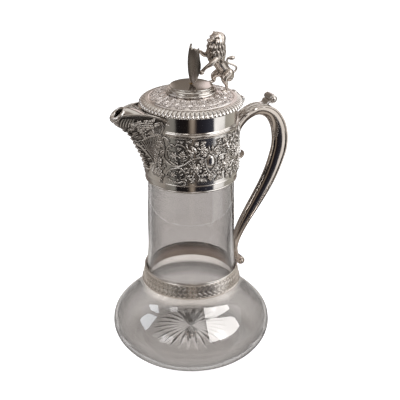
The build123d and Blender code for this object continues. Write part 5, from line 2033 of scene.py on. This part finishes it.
@dataclass
class LidChasing:
    """Low palmettes and scrolls round the lid's cone."""

    punches: Punches
    repeats: int = 18
    outer: float = 37.0
    inner: float = 23.0

    def build(self, lid: Lid) -> Piece:
        """Strikes the repeats and lays them on the cone."""
        bottom, top = (self.outer, lid.cone_height(self.outer)), (self.inner, lid.cone_height(self.inner))
        pitch = TURN * (self.outer + self.inner) / 2.0 / self.repeats
        sheet = Ornament(self.punches, 31)
        for index in range(self.repeats):
            middle = index * pitch
            for petal in range(9):
                way = 90.0 + (petal - 4) * 22.0
                sheet.petal((middle, -3.4), way, 6.4 - 0.5 * abs(petal - 4), 1.15, 0.55)
            sheet.bead((middle, -3.6), 0.65, 0.7)
            for side in (-1.0, 1.0):
                curl = sheet.volute((middle + side * 2.5, -4.9), 1.8, 90.0, -side * 1.2, 0.3)
                sheet.stem(curl, 0.26, 0.2, 0.2)
                sheet.stem(
                    [(middle + side * 4.2, -6.2), (middle + side * 5.0, -2.0), (middle + side * 3.6, 2.4),
                     (middle + side * 4.8, 6.4)], 0.28, 0.2, 0.2,
                )
                for step in range(4):
                    root = (middle + side * (4.7 - 0.2 * step), -3.4 + 2.5 * step)
                    for way in (-50.0, 50.0):
                        sheet.petal(root, 90.0 + side * way, 2.3, 0.95, 0.5)
            other = middle + pitch / 2.0
            for petal in range(7):
                sheet.petal((other, 6.2), -90.0 + (petal - 3) * 25.0, 4.8 - 0.5 * abs(petal - 3), 1.0, 0.5)
            sheet.bead((other, 6.4), 0.55, 0.6)
            sheet.leaf((other, -6.8), 90.0, 4.2, 3, 0.5)
        return sheet.lay("lid_chasing", ConeWrap(bottom, top), 0.35)


@dataclass
class BandChasing:
    """The neck band's laurel of leaves in pairs."""

    punches: Punches
    leaves: int = 60

    def build(self, band: NeckBand) -> Piece:
        """Strikes the laurel and lays it on the band."""
        skin_out = band.thickness - 0.17
        bottom, top = (band.inner(band.bottom) + skin_out, band.bottom), (band.inner(band.top) + skin_out, band.top)
        pitch = TURN * (bottom[0] + top[0]) / 2.0 / self.leaves
        sheet = Ornament(self.punches, 41)
        for index in range(self.leaves):
            root = index * pitch
            for height, way, length, width in (
                (0.15, 35.0, 6.6, 2.1), (-0.15, -35.0, 6.6, 2.1), (4.6, 12.0, 4.4, 1.2), (-4.4, -12.0, 4.4, 1.2),
            ):
                sheet.petal((root, height), way, length, width, 0.3)
        return sheet.lay("band_laurel", ConeWrap(bottom, top), 0.32)


# ---------------------------------------------------------------- the studio
@dataclass
class Studio:
    """A white table, a room of grey and white cards for the metal to mirror, soft lights and the camera."""

    target: Place = (0.0, 0.0, 0.14)
    eye: Place = (-0.3351, -0.7185, 0.5176)
    tilt: float = 65.02
    turn: float = -25.0
    lens: float = 85.0
    shift: float = 0.0225
    ring: float = 0.36
    cloth: float = 0.355
    room: float = 1.3
    low_cards: Stops = (
        (-180.0, (0.24, 0.22, 0.2)), (-157.0, (0.26, 0.255, 0.235)), (-153.0, (0.22, 0.215, 0.2)),
        (-150.0, (0.008, 0.007, 0.008)), (-121.0, (0.01, 0.008, 0.008)), (-118.0, (0.16, 0.13, 0.105)),
        (-112.0, (0.4, 0.34, 0.28)), (-106.0, (0.16, 0.13, 0.11)), (-103.0, (0.012, 0.01, 0.012)),
        (-84.0, (0.02, 0.02, 0.028)), (-61.0, (0.045, 0.048, 0.065)), (-58.5, (1.15, 1.15, 1.15)),
        (-30.0, (1.05, 1.05, 1.04)), (-27.0, (0.4, 0.385, 0.34)), (12.0, (0.5, 0.475, 0.42)),
        (20.0, (0.12, 0.1, 0.09)), (50.0, (0.16, 0.14, 0.125)), (60.0, (0.55, 0.53, 0.5)), (78.0, (0.55, 0.53, 0.5)),
        (86.0, (0.14, 0.12, 0.11)), (120.0, (0.2, 0.18, 0.165)), (140.0, (0.42, 0.4, 0.37)),
        (180.0, (0.3, 0.27, 0.24)),
    )
    heights: Stops = (
        (0.0, (0.42, 0.4, 0.38)), (0.06, (0.2, 0.18, 0.165)), (0.2, (0.13, 0.115, 0.105)),
        (0.42, (0.18, 0.15, 0.125)), (0.6, (0.2, 0.17, 0.145)), (0.75, (0.2, 0.17, 0.15)), (0.9, (0.28, 0.24, 0.21)),
        (1.0, (0.34, 0.3, 0.26)),
    )
    table_tones: Stops = (
        (0.0, (0.13, 0.115, 0.105)), (0.36, (0.13, 0.115, 0.105)), (0.41, (0.6, 0.56, 0.52)),
        (0.62, (0.6, 0.56, 0.52)), (0.7, (0.13, 0.115, 0.105)), (1.0, (0.13, 0.115, 0.105)),
    )
    patches: tuple[tuple[float, float, float, float, Station], ...] = (
        (65.0, 74.0, 16.0, 24.0, (0.8, 0.77, 0.73, 1.0)), (-38.0, 38.0, 25.0, 30.0, (1.8, 1.8, 1.8, 1.0)),
        (-100.0, 58.0, 8.0, 11.0, (1.9, 1.85, 1.8, 1.0)), (-165.0, 34.0, 10.0, 14.0, (1.5, 1.5, 1.5, 1.0)),
        (-128.0, 46.0, 4.0, 6.0, (2.2, 2.1, 2.0, 1.0)), (150.0, 40.0, 12.0, 18.0, (1.0, 1.0, 1.05, 1.0)),
        (20.0, 45.0, 10.0, 16.0, (1.2, 1.2, 1.2, 1.0)), (48.0, 29.0, 12.0, 14.0, (1.0, 0.88, 0.85, 1.0)),
        (86.0, 28.0, 10.0, 15.0, (0.62, 0.54, 0.49, 1.0)),
    )
    lamps: tuple[tuple[str, Place, Flat, float, Tone], ...] = (
        ("window_left", (-1.0, -0.45, 0.85), (0.35, 0.5), 6.0, (0.95, 0.97, 1.0)),
        ("window_right", (0.55, -1.0, 0.95), (0.35, 0.5), 6.0, (0.95, 0.97, 1.0)),
        ("skylight", (0.3, 0.64, 1.15), (0.5, 0.5), 3.0, (1.0, 1.0, 1.0)),
    )
    windows: tuple[tuple[str, tuple[Place, ...], Tone, float], ...] = (
        (
            "great_window", ((0.11, -0.43, 0.85), (0.7, -0.31, 0.63), (0.6, -0.76, 0.04), (-0.02, -0.88, 0.25)),
            (1.0, 0.97, 0.95), 14.0,
        ),
        (
            "side_window", ((-0.71, 0.48, 0.49), (-0.87, 0.17, 0.45), (-0.62, 0.15, 0.76), (-0.65, 0.36, 0.68)),
            (0.88, 0.94, 1.0), 8.0,
        ),
        (
            "low_window", ((-0.85, 0.52, 0.32), (-1.0, 0.02, 0.34), (-1.0, 0.02, 0.03), (-0.85, 0.52, 0.03)),
            (0.95, 0.95, 1.0), 7.0,
        ),
    )

    def camera(self) -> None:
        """Sets the camera up."""
        clear_selection()
        bpy.ops.object.camera_add(location=self.eye, rotation=(radians(self.tilt), 0.0, radians(self.turn)))
        camera = bpy.context.object
        camera.name = "camera"
        camera.data.lens = self.lens
        camera.data.sensor_width = 36.0
        camera.data.shift_x = self.shift
        bpy.context.scene.camera = camera

    def world(self) -> None:
        """Fills the room with even light and shows white wherever the room itself is seen."""
        world = bpy.data.worlds.new("room")
        bpy.context.scene.world = world
        world.use_nodes = True
        graph = Graph(world.node_tree)
        world.node_tree.nodes.clear()
        dim = graph.node("ShaderNodeBackground", Color=(0.93, 0.95, 1.0, 1.0), Strength=0.3).outputs[0]
        white = graph.node("ShaderNodeBackground", Color=(1.0, 1.0, 1.0, 1.0), Strength=1.0).outputs[0]
        mixed = graph.fill("ShaderNodeMixShader", self._seen(graph), dim, white)
        graph.node("ShaderNodeOutputWorld", Surface=mixed)

    @staticmethod
    def _seen(graph: Graph) -> Socket:
        """Gives 1 for rays that show the background: straight, through glass or in a mirror."""
        path = graph.node("ShaderNodeLightPath").outputs
        seen = graph.maths("MAXIMUM", path["Is Camera Ray"], path["Is Transmission Ray"])
        return graph.maths("MAXIMUM", seen, path["Is Glossy Ray"])

    @staticmethod
    def _bare(piece: Piece, name: str) -> Graph:
        """Gives a stage piece a material with no nodes and returns the graph for its tree."""
        material = bpy.data.materials.new(name)
        material.use_nodes = True
        material.node_tree.nodes.clear()
        piece.data.materials.append(material)
        return Graph(material.node_tree)

    def floor(self) -> None:
        """Lays the white table, which keeps the jug's soft shadow."""
        table = add_primitive("plane", size=8.0)
        table.name = "table"
        graph = self._bare(table, "white_table")
        lit = graph.node("ShaderNodeBsdfDiffuse", Color=(0.8, 0.8, 0.8, 1.0)).outputs[0]
        bright = graph.maths("MULTIPLY", self._seen(graph), 0.92)
        glow = graph.node("ShaderNodeEmission", Color=(1.0, 1.0, 1.0, 1.0), Strength=bright).outputs[0]
        graph.node("ShaderNodeOutputMaterial", Surface=graph.fill("ShaderNodeAddShader", lit, glow))

    def lamp(self, name: str, at: Place, size: Flat, power: float, tone: Tone) -> None:
        """Hangs a soft window of light that points at the jug.

        Args:
            name: What the lamp is called.
            at: Where it hangs, in metres.
            size: Its width and height.
            power: Its power in watts.
            tone: Its colour.
        """
        clear_selection()
        bpy.ops.object.light_add(type="AREA", location=at)
        lamp = bpy.context.object
        lamp.name = name
        lamp.data.shape = "RECTANGLE"
        lamp.data.size, lamp.data.size_y = size
        lamp.data.energy = power
        lamp.data.color = tone
        way = Vector(self.target) - Vector(at)
        lamp.rotation_euler = way.to_track_quat("-Z", "Y").to_euler()
        lamp.visible_camera = False

    @staticmethod
    def _mirrored(card: Piece) -> None:
        """Lets a card show only in the metal's and the glass's reflections."""
        for kind in ("camera", "diffuse", "transmission", "shadow", "volume_scatter"):
            setattr(card, f"visible_{kind}", False)

    @staticmethod
    def _ramp(graph: Graph, share: Socket, stops: Stops) -> Socket:
        """Adds a colour ramp.

        Args:
            graph: The graph to add it to.
            share: The place on the ramp.
            stops: Places from 0 to 1 with their colours.

        Returns:
            The colour.
        """
        ramp = graph.node("ShaderNodeValToRGB", Fac=share)
        elements = ramp.color_ramp.elements
        while len(elements) < len(stops):
            elements.new(0.5)
        for element, (place, _) in zip(elements, stops):
            element.position = place
        for element, (_, tone) in zip(elements, stops):
            element.color = (*tone, 1.0)
        return ramp.outputs["Color"]

    def _stand(self, card: Piece, graph: Graph, tone: Socket) -> None:
        """Makes a card glow in a colour and leaves it to the reflections."""
        glow = graph.node("ShaderNodeEmission", Color=tone, Strength=1.0).outputs[0]
        graph.node("ShaderNodeOutputMaterial", Surface=glow)
        self._mirrored(card)

    def low_ring(self) -> None:
        """Stands a low ring of cards round the jug, in colours that change with the way round."""
        card = lathe("low_cards", [(self.ring, 0.0), (self.ring, 0.25)], 96)
        graph = self._bare(card, "low_cards")
        place = graph.node("ShaderNodeSeparateXYZ", Vector=graph.place()).outputs
        angle = graph.maths("ARCTAN2", place["Y"], place["X"])
        share = graph.maths("MULTIPLY_ADD", angle, 1.0 / TURN, 0.5)
        stops = tuple(((at + 180.0) / 360.0, tone) for at, tone in self.low_cards)
        self._stand(card, graph, self._ramp(graph, share, stops))

    def table_card(self) -> None:
        """Lays the card under the jug, in colours that change with the distance from its axis."""
        card = lathe("table_card", [(0.0, 0.001), (self.cloth, 0.001)], 64)
        graph = self._bare(card, "table_card")
        reach = graph.fill("ShaderNodeVectorMath", graph.place(), operation="LENGTH")
        share = graph.maths("MULTIPLY", reach, 1.0 / self.cloth)
        self._stand(card, graph, self._ramp(graph, share, self.table_tones))

    def room_cards(self) -> None:
        """Stands a tall room of cards behind them, in colours that change with height, and its bright patches."""
        steps = [step * pi / 40.0 for step in range(20)]
        dome = [(self.room * cos(step), self.room * sin(step)) for step in steps]
        card = lathe("room_cards", [*dome, (0.02, self.room)], 64)
        graph = self._bare(card, "room_cards")
        place = graph.place()
        height = graph.node("ShaderNodeSeparateXYZ", Vector=place).outputs["Z"]
        tone = self._ramp(graph, graph.maths("MULTIPLY", height, 1.0 / self.room), self.heights)
        for way, rise, inner, outer, bright in self.patches:
            turn, tilt = radians(way), radians(rise)
            flat = cos(tilt) / self.room
            aim = (flat * cos(turn), flat * sin(turn), sin(tilt) / self.room)
            near = graph.fill("ShaderNodeVectorMath", place, aim, operation="DOT_PRODUCT")
            patch = graph.spread(near, cos(radians(outer)), cos(radians(inner)), 0.0, 1.0)
            tone = graph.blend(patch, tone, bright)
        self._stand(card, graph, tone)

    def window(self, name: str, corners: Sequence[Place], tone: Tone, strength: float, seen_in: Piece) -> None:
        """Hangs a bright window that only one piece mirrors.

        Args:
            name: What the window is called.
            corners: Its corners in turn, in metres.
            tone: Its colour.
            strength: Its brightness.
            seen_in: The piece that mirrors it.
        """
        card = add_primitive("plane", size=1.0)
        card.name = name
        for vert, corner in zip(card.data.vertices, (corners[0], corners[1], corners[3], corners[2])):
            vert.co = corner
        with editing(card):
            bpy.ops.mesh.subdivide(number_cuts=4)
        graph = self._bare(card, name)
        clear = graph.node("ShaderNodeBsdfTransparent").outputs[0]
        glow = graph.node("ShaderNodeEmission", Color=(*tone, 1.0), Strength=strength).outputs[0]
        graph.node("ShaderNodeOutputMaterial", Surface=graph.fill("ShaderNodeAddShader", clear, glow))
        self._mirrored(card)
        linked = bpy.data.collections.new(f"{name}_mirrors")
        linked.objects.link(seen_in)
        card.light_linking.receiver_collection = linked

    def build(self) -> None:
        """Sets the whole studio up."""
        bpy.context.scene.view_settings.view_transform = "Standard"
        self.camera()
        self.world()
        self.floor()
        self.low_ring()
        self.table_card()
        self.room_cards()
        for lamp in self.lamps:
            self.lamp(*lamp)

    def hang_windows(self, glass: Piece) -> None:
        """Hangs the windows that the glass mirrors."""
        for window in self.windows:
            self.window(*window, glass)


# ---------------------------------------------------------------- assembly
NODES = (
    "glass_body", "collar_bedding", "collar_sleeve", "collar_foot_wire", "frieze_band", "collar_mid_wire",
    "glass_rim_ledge", "spout_body", "spout_hood", "neck_band", "neck_band_bedding", "neck_band_wire", "handle",
    "thumb_scroll", "hinge_bracket", "hinge_pin", "gadroon_border", "lid_plate", "dome_wire", "lid_dome",
    "lid_bezel", "hinge_leaf", "lion", "shield", "finial_stud", "finial_washer", "finial_nut",
)


def dress_carried_nodes(finishes: Finishes) -> None:
    """Gives the CAD nodes their materials.

    Args:
        finishes: All the materials.
    """
    worn = {"collar_bedding": finishes.plaster, "neck_band_bedding": finishes.band_back_painted_light, "hinge_pin": finishes.steel}
    worn |= {name: finishes.brass for name in ("finial_stud", "finial_washer", "finial_nut")}
    for name in NODES:
        piece = bpy.data.objects[name]
        material = worn.get(name, finishes.plate)
        if not piece.material_slots:
            piece.data.materials.append(material)
        for place in piece.material_slots:
            place.material = material


def main() -> None:
    """Builds the studio and dresses the jug, piece by piece."""
    logging.basicConfig(level=logging.INFO, format="%(message)s")
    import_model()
    clear_selection()
    finishes = Finishes()
    dress_carried_nodes(finishes)
    studio = Studio()
    studio.build()
    punches = Punches()

    glass = hand_over(GlassBody().build(), Body.JUG, Slot.GLASS, finishes.glass, "glass_body")
    studio.hang_windows(glass)

    collar = Collar()
    for shape, node in (
        (collar.sleeve, "collar_sleeve"), (collar.foot_wire, "collar_foot_wire"),
        (collar.middle_wire, "collar_mid_wire"),
    ):
        hand_over(shape(), Body.JUG, Slot.PLATE, finishes.plate, node)
    reliefs = Frieze(punches).build()
    # The frieze's ground gets painted shade round its relief.
    ground = shade_ground_by_relief(collar.ground(), reliefs, 0.15, 1.5, 0.9)
    near, far = (join(f"frieze_relief_{side}", [relief]) for side, relief in zip(("near", "far"), reliefs))
    for piece in (ground, near, far):
        hand_over(piece, Body.JUG, Slot.CHASED, finishes.chased, "frieze_band")

    spout = Spout()
    reliefs = SpoutChasing(punches, spout).build()
    # The spout's wall is painted darker all over and darkest round its relief, as painted shade.
    wall = shade_ground_by_relief(spout.shell(), reliefs, 0.3, 2.4, 0.45)
    # Painted shade inside the spout.
    shade_inside(wall)
    for piece in (wall, join("spout_relief", reliefs)):
        hand_over(piece, Body.JUG, Slot.CHASED, finishes.chased, "spout_body")
    edging = join("spout_edging", [spout.edge_wire(), spout.lip()])
    hand_over(edging, Body.JUG, Slot.PLATE, finishes.plate, "spout_body")
    arch = join("spout_hood_arch", [spout.hood(), spout.web()])
    hand_over(arch, Body.JUG, Slot.PLATE, finishes.plate, "spout_hood")

    band = NeckBand()
    laurel = BandChasing(punches).build(band)
    # The band's ground gets painted shade round the laurel.
    laurel = join("neck_band_chased", [shade_ground_by_relief(band.ground(), [laurel], 0.05, 0.8, 0.8), laurel])
    hand_over(laurel, Body.JUG, Slot.CHASED, finishes.laurel, "neck_band")
    hand_over(band.wire(), Body.JUG, Slot.PLATE, finishes.plate, "neck_band_wire")

    handle = Handle()
    bar = join("handle_cast", [handle.bar(), handle.root_scroll(), handle.tail_scroll()])
    hand_over(handle.fit(bar), Body.JUG, Slot.PLATE, finishes.handle, "handle")
    thumb = join("thumb_scroll_cast", [handle.leaf(), handle.thumb_scroll()])
    hand_over(handle.fit(thumb), Body.JUG, Slot.CHASED, finishes.plate, "thumb_scroll")

    lid = Lid()
    hand_over(lid.border(), Body.LID, Slot.PLATE, finishes.gadroon, "gadroon_border")
    palmettes = LidChasing(punches).build(lid)
    # The cone's ground gets painted shade round the palmettes.
    cone = join("lid_cone_chased", [shade_ground_by_relief(lid.cone(), [palmettes], 0.05, 0.9, 0.85), palmettes])
    hand_over(cone, Body.LID, Slot.CHASED, finishes.lid_chasing, "lid_plate")
    for shape, node in ((lid.wire, "dome_wire"), (lid.dome, "lid_dome"), (lid.locating_ring, "lid_bezel")):
        hand_over(shape(), Body.LID, Slot.PLATE, finishes.plate, node)

    finial = Finial()
    hand_over(finial.lion(), Body.LID, Slot.CAST, finishes.cast, "lion")
    hand_over(finial.shield(), Body.LID, Slot.PLATE, finishes.shield, "shield")
    punches.put_away()


if __name__ == "__main__":
    main()
